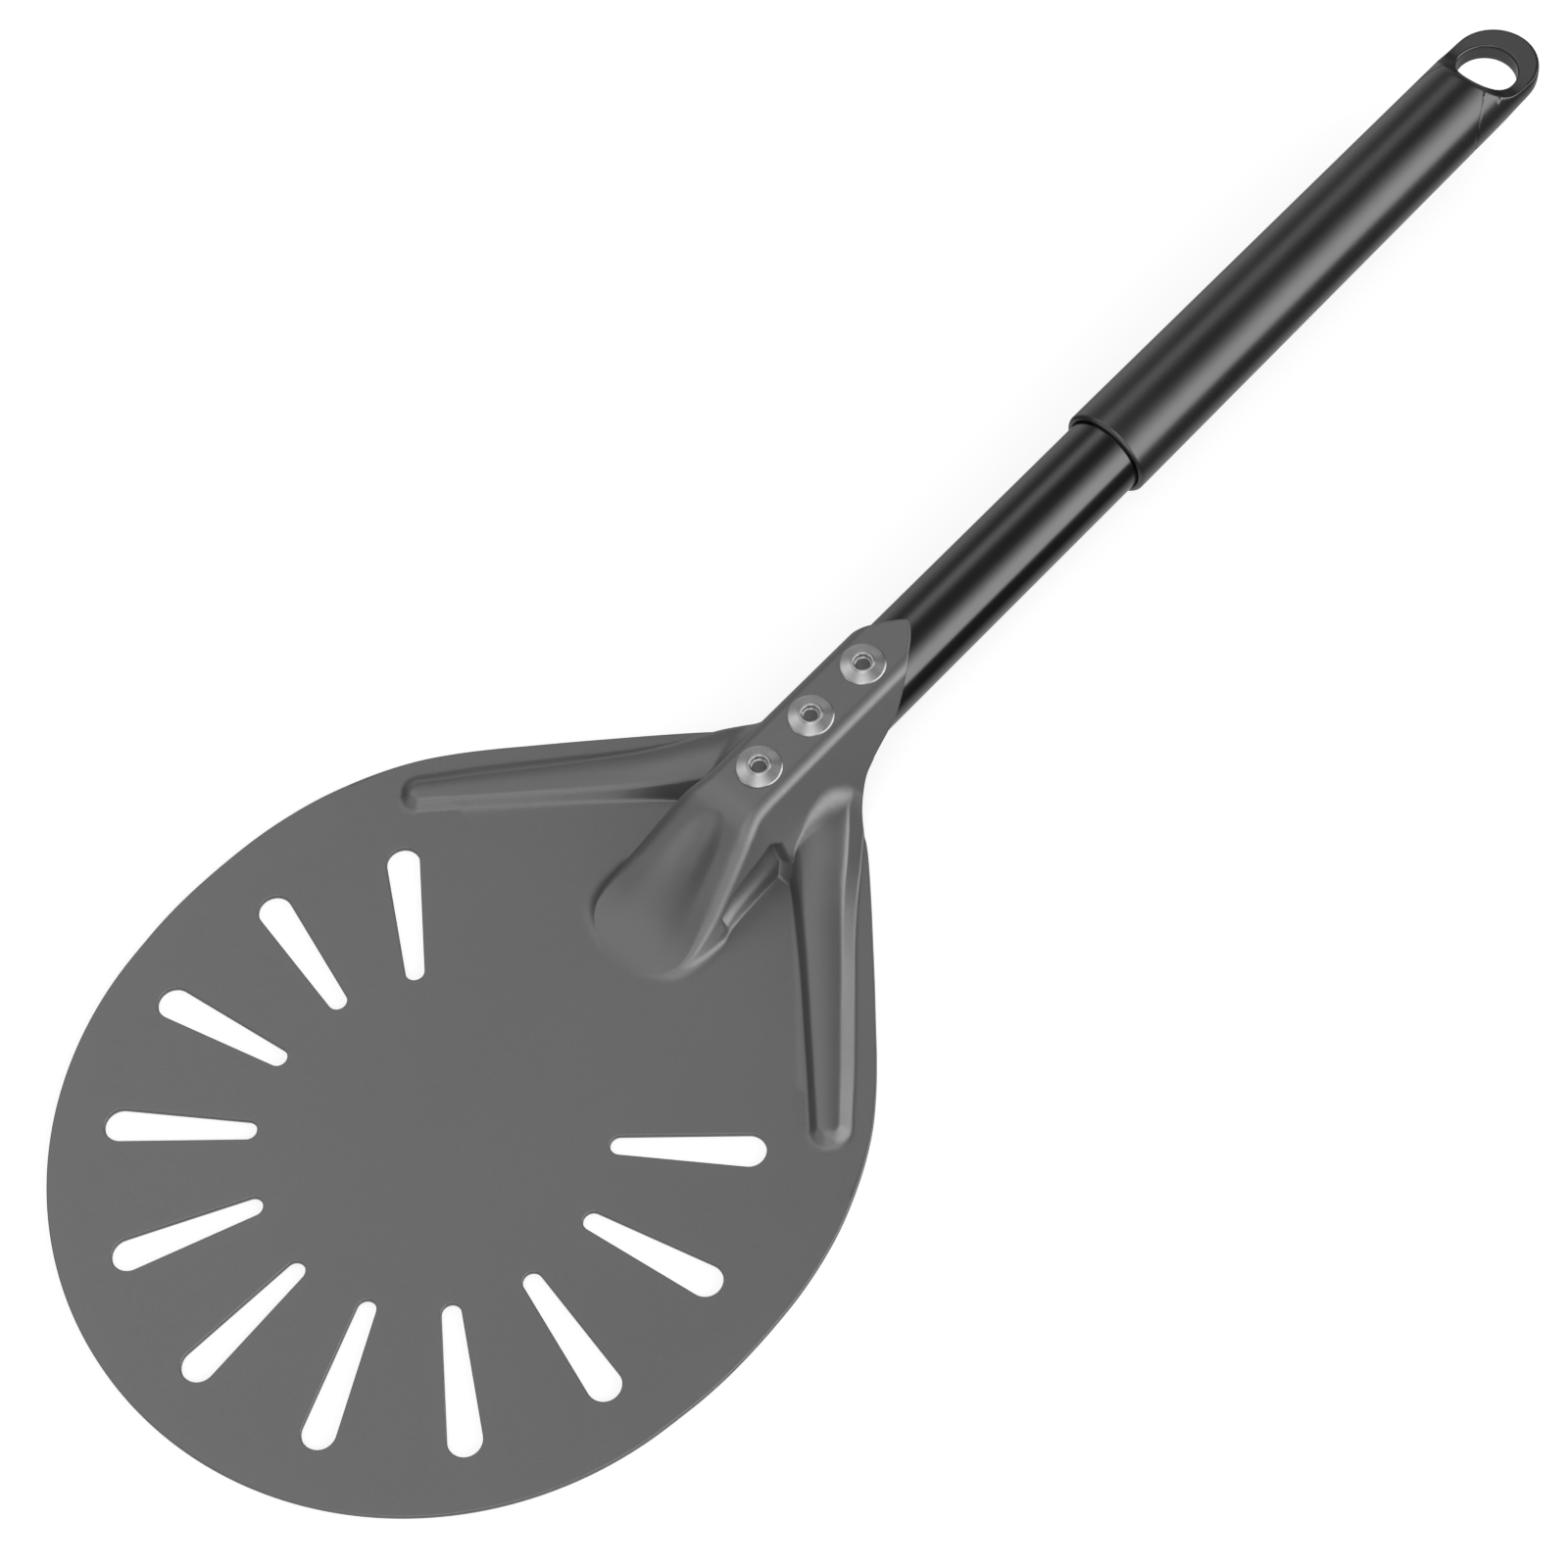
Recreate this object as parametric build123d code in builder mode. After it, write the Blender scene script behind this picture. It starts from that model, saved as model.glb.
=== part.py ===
from build123d import *
import os
from math import cos, sin, tan, radians, hypot

# Round slotted pizza peel with a riveted tube handle.
# Frame: origin at the centre of the round blade, on its underside (the rest plane);
# +X runs back along the handle, +Z up, the handle lies in the plane Y = 0. Millimetres.

# ---- driving dimensions -------------------------------------------------
sheet = 2.0                  # blade sheet thickness
blade_radius = 110.0         # round part of the blade

slot_count = 14              # positions round the full ring
slot_used = 11               # three next to the neck are left out
slot_r_out = 94.9            # outer end of a slot
slot_r_in = 50.6             # inner end of a slot
slot_cap_out = 4.95          # end radius, outer
slot_cap_in = 2.85           # end radius, inner

tube_od = 26.0
tube_wall = 1.5
tube_slope = 0.02765         # rise of the handle axis per mm of X
tube_axis_x0 = 113.9         # the axis passes through (x0, 0, z0)
tube_axis_z0 = 13.15
tube_front_x = 131.0
tube_rear_x = 462.0

neck_gap = 0.05              # running clearance between socket and tube
neck_half = tube_od / 2 + neck_gap + sheet           # tube axis to the socket's outer faces
neck_wall = 66.0             # lean of a side wall from level, degrees
neck_top = neck_half * tan(radians(neck_wall / 2))   # half width where roof and wall faces meet
wall_run = 1 / tan(radians(neck_wall))               # outward run of a side wall per mm of drop
neck_roof_r = 4.0            # outer fold radius of the socket roof
neck_end_x = 203.6           # tip of the roof tongue

rivet_x = {"front": 138.5, "middle": 160.6, "rear": 183.2}
rivet_flange_d = 14.0
rivet_flange_rim = 0.7
rivet_dome = 1.9
rivet_body_d = 6.4
rivet_bore_d = 3.9
rivet_mouth_d = 5.0
rivet_bulb_d = 9.4
rivet_tail = 8.0             # length below the tube's inner wall
rivet_hole_r = rivet_body_d / 2 + 0.05
rivet_hole_reach = 8.0       # depth of cut each way from the neck's top face
mandrel_head_d = 6.0
mandrel_tip = 0.45           # broken end of the stem above the neck's top face
mandrel_gap = 0.03           # radial gap between stem and rivet bore

grip_front_x = 292.5
grip_tip_x = 501.4
grip_d_front = 30.1
grip_d_rear = 28.9
grip_lip = 1.3
grip_eye_x = 483.0
grip_eye_d = 20.0
grip_tab = 6.4               # thickness of the flattened eye
grip_scoop_x = 467.5         # where the top and bottom scoops start
grip_bore_gap = 0.02         # radial gap round the tube
grip_bore_end_gap = 0.4      # gap behind the tube, measured along X

# ---- handle axis and planes on it ---------------------------------------
axis_len = hypot(1.0, tube_slope)                        # axis length per mm of X
axis_dir = (1.0 / axis_len, 0, tube_slope / axis_len)    # along the handle, to the rear
axis_up = (-axis_dir[2], 0, axis_dir[0])                 # square to the handle, upward


def axis_z(x):
    """height of the handle axis above the rest plane at station x"""
    return tube_axis_z0 + tube_slope * (x - tube_axis_x0)


def roof_z(x):
    """top surface of the neck roof at station x"""
    return axis_z(x) + neck_half


def seat_z(x):
    """height of the neck's top face measured where a rivet's own axis crosses it"""
    return axis_z(x) + neck_half * axis_len


def cross_plane(x):
    """plane square to the handle axis, normal toward the rear, local x is +Y"""
    return Plane(origin=(x, 0, axis_z(x)), x_dir=(0, 1, 0), z_dir=axis_dir)


def plan_plane(x, z):
    """plane parallel to the handle axis, local x along the handle, normal upward"""
    return Plane(origin=(x, 0, z), x_dir=axis_dir, z_dir=axis_up)


def side_plane(x, z):
    """plane Y = 0, local x along the handle, local y upward and square to it"""
    return Plane(origin=(x, 0, z), x_dir=axis_dir, z_dir=(0, -1, 0))


def both_sides(part):
    """the part and its mirror image across Y = 0"""
    return part, part.mirror(Plane.XZ)


def save(part, name):
    part.label = name
    export_step(part, f"parts/{name}.step")


# ---- flat blade plate ---------------------------------------------------
# half outline, polar about the blade centre: angle from +X, radius
shoulder = [
    (97.5, 110.1), (92.5, 110.6), (87.5, 111.3), (82.5, 112.2), (77.5, 113.5),
    (72.5, 115.2), (67.5, 117.0), (62.5, 118.9), (57.5, 120.7), (52.5, 122.6),
    (47.5, 124.4), (42.5, 125.9), (37.5, 127.6), (32.5, 129.9), (27.5, 133.3),
    (22.5, 137.8), (17.5, 143.7), (12.5, 151.0), (9.5, 156.8),
]
# the outline goes on to the neck: x, y
neck_foot = [(157.5, 23.5), (160.5, 20.6), (165.0, 17.6)]


def make_slot():
    """one slot lying along +X, straight flanks between two end arcs"""
    centre_out = slot_r_out - slot_cap_out
    centre_in = slot_r_in + slot_cap_in
    tilt = (slot_cap_out - slot_cap_in) / (centre_out - centre_in)
    rise = (1 - tilt * tilt) ** 0.5
    inner_x, inner_y = centre_in - slot_cap_in * tilt, slot_cap_in * rise
    outer_x, outer_y = centre_out - slot_cap_out * tilt, slot_cap_out * rise
    with BuildSketch() as slot:
        with BuildLine():
            Line((inner_x, inner_y), (outer_x, outer_y))
            ThreePointArc((outer_x, outer_y), (slot_r_out, 0), (outer_x, -outer_y))
            Line((outer_x, -outer_y), (inner_x, -inner_y))
            ThreePointArc((inner_x, -inner_y), (slot_r_in, 0), (inner_x, inner_y))
        make_face()
    return slot.sketch


def make_plate():
    slot = make_slot()
    slot_step = 360 / slot_count
    shoulder_xy = [(r * cos(radians(a)), r * sin(radians(a))) for a, r in shoulder]
    start_angle = radians(shoulder[0][0])
    foot_x, foot_y = neck_foot[-1]
    with BuildPart() as plate:
        with BuildSketch(Plane.XY):
            with BuildLine():
                # leaves the round part slightly off its tangent
                upper = Spline(*shoulder_xy, *neck_foot,
                               tangents=[(sin(start_angle), -cos(start_angle) + 0.02), (1, -0.5)])
                Line((foot_x, foot_y), (foot_x, -foot_y))
                mirror(upper, about=Plane.XZ)
                start = upper @ 0
                ThreePointArc(start, (-blade_radius, 0), (start.X, -start.Y))
            make_face()
            with PolarLocations(0, slot_used, start_angle=180 - (slot_used // 2) * slot_step,
                                angular_range=(slot_used - 1) * slot_step, endpoint=True):
                add(slot, mode=Mode.SUBTRACT)
        extrude(amount=sheet)
    return plate.part


# ---- spine: raised channel that grows into the neck socket --------------
wall_foot_z = sheet / 2      # the outer walls start inside the sheet
hollow_foot_z = -1.0         # the hollows start below the sheet
spine_rear_x = 206.0         # past the trimmed end of the neck
hollow_rear_x = 210.0


def neck_row(x):
    """spine row on the straight neck"""
    base = neck_top + (roof_z(x) - wall_foot_z) * wall_run
    return x, base, neck_top, roof_z(x) - sheet, neck_roof_r


# x, base half width, top half width, height above the sheet, fold radius
spine = [
    (73.2, 6.0, 4.0, 0.3, 0.15),
    (76.5, 13.2, 10.6, 0.8, 0.4),
    (81.5, 17.6, 15.6, 1.7, 1.0),
    (88.5, 19.8, 16.6, 3.7, 1.8),
    (97.0, 20.8, 15.6, 8.1, 2.6),
    (105.0, 21.3, 13.8, 13.8, 3.2),
    (114.0, 21.7, 12.0, 20.2, 3.7),
    (123.5, 22.0, 10.5, 25.3, 4.0),
    neck_row(130.0),
    neck_row(136.0),
]
# stations of the lofted cross-sections
hoop_x = [73.2, 75.0, 77.5, 81.5, 85.0, 89.0, 93.0, 97.0,
          101.0, 105.5, 110.0, 115.0, 120.0, 125.0, 130.0, 136.0]
hollow_first = 3             # the hollow starts at this entry of hoop_x


def spine_row(x):
    """spine row at station x, on a smooth cubic curve through the table's rows"""
    i = max(j for j in range(len(spine) - 1) if spine[j][0] <= x)
    here, ahead = spine[i], spine[i + 1]
    before, after = spine[max(i - 1, 0)], spine[min(i + 2, len(spine) - 1)]
    span = ahead[0] - here[0]
    t = (x - here[0]) / span
    row = [x]
    for c in range(1, len(here)):
        slope_here = (ahead[c] - before[c]) / (ahead[0] - before[0])
        slope_ahead = (after[c] - here[c]) / (after[0] - here[0])
        row.append(
            (2 * t**3 - 3 * t**2 + 1) * here[c] + (t**3 - 2 * t**2 + t) * span * slope_here
            + (-2 * t**3 + 3 * t**2) * ahead[c] + (t**3 - t**2) * span * slope_ahead
        )
    return tuple(row)


def hoop(x, base, top, z_low, z_high, fold):
    """one cross-section of the spine: a trapezoid with folded upper corners"""
    with BuildSketch(Plane(origin=(x, 0, 0), x_dir=(0, 1, 0), z_dir=(1, 0, 0))) as section:
        with BuildLine():
            Polyline((-base, z_low), (-top, z_high), (top, z_high), (base, z_low), close=True)
        make_face()
        fillet(section.vertices().group_by(Axis.Y)[-1], radius=fold)
    return section.sketch


def outer_hoop(x, base, top, height, fold):
    return hoop(x, base, top, wall_foot_z, sheet + height, fold)


def inner_hoop(x, base, top, height, fold):
    """the hollow under a hoop: roof one sheet down, walls thinner where the spine is low"""
    inset = min(sheet, 0.35 * height + 0.6)
    run = (base - top) / (sheet + height - wall_foot_z)
    back = inset * hypot(1.0, run)
    return hoop(x, base + (wall_foot_z - hollow_foot_z) * run - back, top + sheet * run - back,
                hollow_foot_z, height, max(fold - inset, 0.3))


def loft_spine(section, stations, rear_x):
    with BuildPart() as body:
        for x in stations:
            add(section(*spine_row(x)).faces())
        add(section(*neck_row(rear_x)).faces())
        loft(ruled=True)
    return body.part


# ---- side dimples: a bar-shaped dent in each side wall ahead of the tube --
dimple_front = (107.0, 20.6, 8.4)      # ends of the dent's centre line
dimple_rear = (123.4, 19.2, 11.2)
dimple_r = 5.2
dimple_skin = sheet * 0.8              # wall left behind the dent


def make_dimple(radius):
    """round bar with ball ends along the dent's centre line"""
    line = Vector(*dimple_rear) - Vector(*dimple_front)
    with BuildPart() as bar:
        with BuildSketch(Plane(origin=dimple_front, z_dir=line)):
            Circle(radius)
        extrude(amount=line.length)
        with Locations(dimple_front, dimple_rear):
            Sphere(radius)
    return bar.part


# ---- shoulder ribs: raised beads running from the neck along each shoulder
rib_mid = Vector(109.6, 51.2, 0)
rib_along = Vector(-0.722, 0.692, 0)        # toward the nose of the rib
rib_out = Vector(0.692, 0.722, 0)           # toward the blade edge
# station along the rib, inner foot, inner edge, outer edge, outer foot, height
rib = [
    (52.6, -3.6, -2.4, 0.2, 1.6, 1.0),
    (50.0, -5.4, -3.4, 1.6, 4.2, 2.6),
    (45.0, -6.7, -4.3, 2.6, 6.1, 3.4),
    (28.0, -7.5, -4.6, 3.1, 7.1, 3.6),
    (0.0, -9.0, -5.8, 4.0, 8.2, 4.1),
    (-19.0, -10.0, -6.4, 4.7, 8.8, 5.4),
    (-38.0, -10.8, -7.0, 5.3, 9.4, 8.6),
    (-52.0, -11.4, -7.6, 5.6, 9.6, 9.6),
    (-66.0, -11.4, -8.6, 4.0, 7.4, 8.0),
]
rib_foot_z = 1.2             # the outer bead starts inside the sheet
rib_foot_inset = 1.2         # hollow set in from the outer bead, at the feet
rib_edge_inset = 0.9         # and at the edges
rib_crown = 0.15             # share of the height taken by the arched crown


def bead(row, z_foot, z_base, foot_inset=0.0, edge_inset=0.0):
    """one cross-section of a rib, from z_foot up to the row's height above z_base"""
    station, foot_in, edge_in, edge_out, foot_out, height = row
    # the plane's local y points down, so heights are negated
    y_foot = -z_foot
    y_edge = -(z_base + (1 - rib_crown) * height)
    y_crown = y_edge - rib_crown * height
    inner_foot = (foot_in + foot_inset, y_foot)
    inner_edge = (edge_in + edge_inset, y_edge)
    outer_edge = (edge_out - edge_inset, y_edge)
    outer_foot = (foot_out - foot_inset, y_foot)
    plane = Plane(origin=rib_mid + rib_along * station, x_dir=rib_out, z_dir=rib_along)
    with BuildSketch(plane) as section:
        with BuildLine():
            Line(inner_foot, inner_edge)
            ThreePointArc(inner_edge, ((edge_in + edge_out) / 2, y_crown), outer_edge)
            Line(outer_edge, outer_foot)
            Line(outer_foot, inner_foot)
        make_face()
    return section.sketch


def make_rib_outer():
    with BuildPart() as body:
        for row in rib:
            add(bead(row, rib_foot_z, sheet).faces())
        loft(ruled=True)
    return body.part


def make_rib_inner():
    with BuildPart() as body:
        for row in rib[1:]:
            add(bead(row, hollow_foot_z, 0.0, rib_foot_inset, rib_edge_inset).faces())
        loft(ruled=True)
    return body.part


# ---- trims at the rear of the neck --------------------------------------
# side view of the side walls' free edge, bottom to top: x, z
neck_edge = [
    (156.8, -3.0), (157.5, 2.0), (159.4, 6.2), (161.8, 9.5), (164.3, 11.9), (168.3, 13.8),
    (172.8, 15.4), (176.4, 17.3), (180.4, 19.2), (184.2, 22.0), (187.4, 25.2), (189.6, 27.8),
]
# plan view of the +Y edge of the pointed roof tongue, ahead of its tip: x, y
tongue_edge = [(187.0, 13.2), (190.2, 10.8), (195.0, 7.3), (199.6, 4.1)]
trim_rear_x = 230.0
tongue_trim_half = 30.0
tongue_trim_z = 24.0


def make_end_trim():
    with BuildPart() as trim:
        with BuildSketch(Plane.XZ):
            with BuildLine():
                Polyline(*neck_edge, (trim_rear_x, neck_edge[-1][1]),
                         (trim_rear_x, neck_edge[0][1]), close=True)
            make_face()
        extrude(amount=60, both=True)
    return trim.part


def make_tongue_trim():
    far_edge = [(x, -y) for x, y in reversed(tongue_edge)]
    front_x = tongue_edge[0][0]
    with BuildPart() as trim:
        with BuildSketch(Plane.XY.offset(tongue_trim_z)):
            with BuildLine():
                Spline(*tongue_edge, (neck_end_x, 0), *far_edge)
                Polyline(far_edge[-1], (front_x, -tongue_trim_half),
                         (trim_rear_x, -tongue_trim_half), (trim_rear_x, tongue_trim_half),
                         (front_x, tongue_trim_half), tongue_edge[0])
            make_face()
        extrude(amount=20)
    return trim.part


# ---- blade --------------------------------------------------------------
def make_solid_blade():
    """plate, spine and ribs before hollowing, with the dimples dented in"""
    plate = make_plate()
    spine_outer = loft_spine(outer_hoop, hoop_x, spine_rear_x)
    rib_outer = make_rib_outer()
    dimple = make_dimple(dimple_r)
    with BuildPart() as solid:
        add(plate)
        add(spine_outer)
        for side in both_sides(rib_outer):
            add(side)
        for side in both_sides(dimple):
            add(side, mode=Mode.SUBTRACT)
    return solid.part


def make_hollow():
    """space under the spine and ribs, less the skin behind the dimples"""
    spine_inner = loft_spine(inner_hoop, hoop_x[hollow_first:], hollow_rear_x)
    rib_inner = make_rib_inner()
    dimple_keep = make_dimple(dimple_r + dimple_skin)
    with BuildPart() as hollow:
        add(spine_inner)
        for side in both_sides(rib_inner):
            add(side)
        for side in both_sides(dimple_keep):
            add(side, mode=Mode.SUBTRACT)
    return hollow.part


def make_blade():
    solid = make_solid_blade()
    cuts = [make_hollow(), make_end_trim(), make_tongue_trim()]
    with BuildPart() as blade:
        add(solid)
        for cut in cuts:
            add(cut, mode=Mode.SUBTRACT)
        # rivet holes through the roof
        for x in rivet_x.values():
            with BuildSketch(plan_plane(x, seat_z(x))):
                Circle(rivet_hole_r)
            extrude(amount=rivet_hole_reach, both=True, mode=Mode.SUBTRACT)
    return blade.part


# ---- handle tube --------------------------------------------------------
def make_handle_tube():
    with BuildPart() as tube:
        with BuildSketch(cross_plane(tube_front_x)):
            Circle(tube_od / 2)
            Circle(tube_od / 2 - tube_wall, mode=Mode.SUBTRACT)
        extrude(amount=(tube_rear_x - tube_front_x) * axis_len)
        for x in rivet_x.values():
            with BuildSketch(plan_plane(x, seat_z(x))):
                Circle(rivet_hole_r)
            extrude(amount=rivet_hole_reach, both=True, mode=Mode.SUBTRACT)
    return tube.part


# ---- blind rivets -------------------------------------------------------
# Half sections: x is the radius, y runs up the rivet from the neck's top face.
inner_wall_y = -(sheet + neck_gap + tube_wall)       # inner wall of the tube
rivet_end_y = inner_wall_y - rivet_tail + 0.6


def make_rivet(x, tube):
    bore_r = rivet_bore_d / 2
    body_r = rivet_body_d / 2
    flange_r = rivet_flange_d / 2
    flange_y = 0.02                                  # underside, just clear of the neck
    mouth = (rivet_mouth_d / 2, rivet_dome - 0.1)
    dome_mid = (5.1, 1.52)
    flange_top = (flange_r, rivet_flange_rim)
    bulb_top = (rivet_bulb_d / 2, inner_wall_y - 0.05)
    bulb_mid = (rivet_bulb_d / 2 + 0.35, inner_wall_y - 2.2)
    bulb_end = (body_r + 0.2, inner_wall_y - 5.0)
    with BuildPart() as rivet:
        with BuildSketch(side_plane(x, seat_z(x))):
            with BuildLine():
                Polyline((bore_r, rivet_end_y), (bore_r, rivet_dome - 0.7), mouth)
                ThreePointArc(mouth, dome_mid, flange_top)
                Polyline(flange_top, (flange_r, flange_y), (body_r, flange_y),
                         (body_r, inner_wall_y - 0.02), bulb_top)
                ThreePointArc(bulb_top, bulb_mid, bulb_end)
                Polyline(bulb_end, (body_r, rivet_end_y), (bore_r, rivet_end_y))
            make_face()
        revolve(axis=Axis((x, 0, seat_z(x)), axis_up))
        # the bulb sets against the curved bore of the tube
        add(tube, mode=Mode.SUBTRACT)
    return rivet.part


def make_mandrel(x):
    stem_r = rivet_bore_d / 2 - mandrel_gap
    head_r = mandrel_head_d / 2
    head_y = rivet_end_y - 0.05                      # top of the head, just below the rivet
    tail_y = inner_wall_y - rivet_tail
    with BuildPart() as mandrel:
        with BuildSketch(side_plane(x, seat_z(x))):
            with BuildLine():
                Polyline((0, mandrel_tip), (stem_r, mandrel_tip - 0.15), (stem_r, head_y),
                         (head_r, head_y), (head_r, tail_y - 0.5),
                         (head_r - 0.9, tail_y - 1.3), (0, tail_y - 1.5), close=True)
            make_face()
        revolve(axis=Axis((x, 0, seat_z(x)), axis_up))
    return mandrel.part


# ---- grip ---------------------------------------------------------------
# upper scoop curve: distance behind grip_scoop_x, height above the handle axis
scoop_curve = [(0, 15.2), (5.5, 8.4), (13.0, grip_tab / 2 + 0.5), (22.0, grip_tab / 2)]


def make_grip():
    tip_r = grip_d_rear / 2
    trim = 80.0                                      # block that rounds the tip
    tip_plane = plan_plane(grip_tip_x - tip_r * axis_dir[0],
                           axis_z(grip_tip_x) - tip_r * axis_dir[2] - trim / 2)
    bore_front_x = grip_front_x - 1
    bore_rear_x = tube_rear_x + grip_bore_end_gap
    with BuildPart() as grip:
        with BuildSketch(cross_plane(grip_front_x)):
            Circle(grip_d_front / 2)
        with BuildSketch(cross_plane(grip_tip_x)):
            Circle(tip_r)
        loft()
        # round the tip in plan about an upright axis
        with BuildSketch(tip_plane):
            Rectangle(trim, trim)
            Circle(tip_r, mode=Mode.SUBTRACT)
            with Locations((-trim / 2, 0)):
                Rectangle(trim, trim, mode=Mode.SUBTRACT)
        extrude(amount=trim, mode=Mode.SUBTRACT)
        front_rim = grip.edges().filter_by(GeomType.CIRCLE).sort_by(Axis.X)[0]
        fillet(front_rim, radius=grip_lip)
        # scoops above and below leave a flat eye
        for up in (1, -1):
            curve = [(x, up * y) for x, y in scoop_curve]
            with BuildSketch(side_plane(grip_scoop_x, axis_z(grip_scoop_x))):
                with BuildLine():
                    Spline(*curve, tangents=[(1, -up * 1.25), (1, 0)])
                    Polyline(curve[-1], (60, up * grip_tab / 2), (60, up * 40), (0, up * 40),
                             curve[0])
                make_face()
            extrude(amount=40, both=True, mode=Mode.SUBTRACT)
        # hanging eye
        with BuildSketch(plan_plane(grip_eye_x, axis_z(grip_eye_x))):
            Circle(grip_eye_d / 2)
        extrude(amount=30, both=True, mode=Mode.SUBTRACT)
        # bore for the tube, blind at the rear
        with BuildSketch(cross_plane(bore_front_x)):
            Circle(tube_od / 2 + grip_bore_gap)
        extrude(amount=(bore_rear_x - bore_front_x) * axis_len, mode=Mode.SUBTRACT)
    return grip.part


# ---- build and export ---------------------------------------------------
os.makedirs("parts", exist_ok=True)

save(make_blade(), "blade")
handle_tube = make_handle_tube()
save(handle_tube, "handle_tube")
for place, station_x in rivet_x.items():
    save(make_rivet(station_x, handle_tube), f"rivet_{place}")
    save(make_mandrel(station_x), f"mandrel_{place}")
save(make_grip(), "grip")
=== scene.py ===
# A long-handled tool with a round slotted blade pressed from sheet.
# The blade lies flat on z = 0 round the origin. Its spine rises towards +X into a neck over
# the handle tube, held by three rivets. The tube climbs gently to a grip with an eye at its
# +X end. Lengths are in mm and turn into metres where a mesh is made.
import math

import bmesh
import bpy
import numpy as np
from mathutils import Matrix, Vector, geometry


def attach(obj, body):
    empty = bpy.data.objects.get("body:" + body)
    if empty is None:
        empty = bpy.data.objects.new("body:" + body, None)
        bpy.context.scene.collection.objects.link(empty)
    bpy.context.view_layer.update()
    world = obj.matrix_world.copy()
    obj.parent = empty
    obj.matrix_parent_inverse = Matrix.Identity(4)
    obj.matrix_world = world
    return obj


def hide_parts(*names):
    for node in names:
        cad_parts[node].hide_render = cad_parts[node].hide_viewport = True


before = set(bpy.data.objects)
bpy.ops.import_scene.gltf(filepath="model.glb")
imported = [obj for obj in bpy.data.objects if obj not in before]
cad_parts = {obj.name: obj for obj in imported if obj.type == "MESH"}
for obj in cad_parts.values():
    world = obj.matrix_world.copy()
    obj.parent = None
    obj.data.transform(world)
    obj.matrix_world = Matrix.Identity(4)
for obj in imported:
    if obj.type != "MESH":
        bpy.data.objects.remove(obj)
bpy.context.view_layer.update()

MM = 0.001
SHEET = 2.0                        # blade sheet thickness

# handle axis: a point on it, and its rise per mm of X
AXIS_X, AXIS_Z, TUBE_SLOPE = 113.9, 13.15, 0.02765
TUBE_OD = 26.0
AXIS_DX = 1 / math.hypot(1, TUBE_SLOPE)
AXIS_DZ = TUBE_SLOPE * AXIS_DX

# neck: flat roof and leaning side walls over the tube
NECK = TUBE_OD / 2 + 0.05 + SHEET          # tube axis to the outer face of roof and walls
LEAN = math.radians(66.0)                  # side walls from level
NECK_TOP = NECK * math.tan(LEAN / 2)       # half width where roof and wall faces would meet
RUN = 1 / math.tan(LEAN)                   # outward run of a wall per mm of drop


# ------------------------------------------------------------------ helpers
def curve(table, x):
    """smooth monotone curve through the rows of a table (x, y), held flat outside it"""
    table = np.asarray(table, float)
    knots, values = table[:, 0], table[:, 1]
    x = np.clip(np.asarray(x, float), knots[0], knots[-1])
    gaps = np.diff(knots)
    slopes = np.diff(values) / gaps
    tangents = np.zeros(len(knots))
    tangents[0], tangents[-1] = slopes[0], slopes[-1]
    for i in range(1, len(knots) - 1):
        if slopes[i - 1] * slopes[i] > 0:
            before, after = 2 * gaps[i] + gaps[i - 1], gaps[i] + 2 * gaps[i - 1]
            tangents[i] = (before + after) / (before / slopes[i - 1] + after / slopes[i])
    i = np.clip(np.searchsorted(knots, x, side="right") - 1, 0, len(knots) - 2)
    u = (x - knots[i]) / gaps[i]
    return ((2 * u**3 - 3 * u**2 + 1) * values[i]
            + (u**3 - 2 * u**2 + u) * gaps[i] * tangents[i]
            + (-2 * u**3 + 3 * u**2) * values[i + 1]
            + (u**3 - u**2) * gaps[i] * tangents[i + 1])


def smoothstep(start, end, x):
    u = np.clip((np.asarray(x, float) - start) / (end - start), 0, 1)
    return u * u * (3 - 2 * u)


def catmull(points, steps):
    """dense smooth open curve through points"""
    knots = np.array(points, float)
    knots = np.vstack([2 * knots[0] - knots[1], knots, 2 * knots[-1] - knots[-2]])
    out = []
    for i in range(1, len(knots) - 2):
        u = np.linspace(0, 1, steps, endpoint=False)[:, None]
        a, b, c, d = knots[i - 1:i + 3]
        out.append(0.5 * (2 * b + (c - a) * u + (2 * a - 5 * b + 4 * c - d) * u**2
                          + (3 * b - a - 3 * c + d) * u**3))
    out.append(knots[-2][None, :])
    return np.vstack(out)


def arc_lengths(points):
    """distance along a polyline at each of its points"""
    return np.concatenate([[0], np.cumsum(np.hypot(*np.diff(points, axis=0).T))])


def inside(polygon, x, y):
    xa, ya = polygon[:, 0], polygon[:, 1]
    xb, yb = np.roll(xa, -1), np.roll(ya, -1)
    rise = np.where(np.abs(yb - ya) < 1e-12, 1e-12, yb - ya)
    crossed = ((ya > y) != (yb > y)) & (x < (xb - xa) * (y - ya) / rise + xa)
    return bool(crossed.sum() % 2)


def new_mesh(name, verts, faces):
    """smooth-shaded object; verts in metres"""
    mesh = bpy.data.meshes.new(name)
    mesh.from_pydata([tuple(v) for v in verts], [], [tuple(f) for f in faces])
    mesh.validate()
    mesh.update()
    ob = bpy.data.objects.new(name, mesh)
    bpy.context.scene.collection.objects.link(ob)
    mesh.polygons.foreach_set("use_smooth", [True] * len(mesh.polygons))
    return ob


def merge_and_orient(ob, distance):
    bm = bmesh.new()
    bm.from_mesh(ob.data)
    bmesh.ops.remove_doubles(bm, verts=bm.verts, dist=distance)
    bmesh.ops.recalc_face_normals(bm, faces=bm.faces)
    bm.to_mesh(ob.data)
    bm.free()


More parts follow.
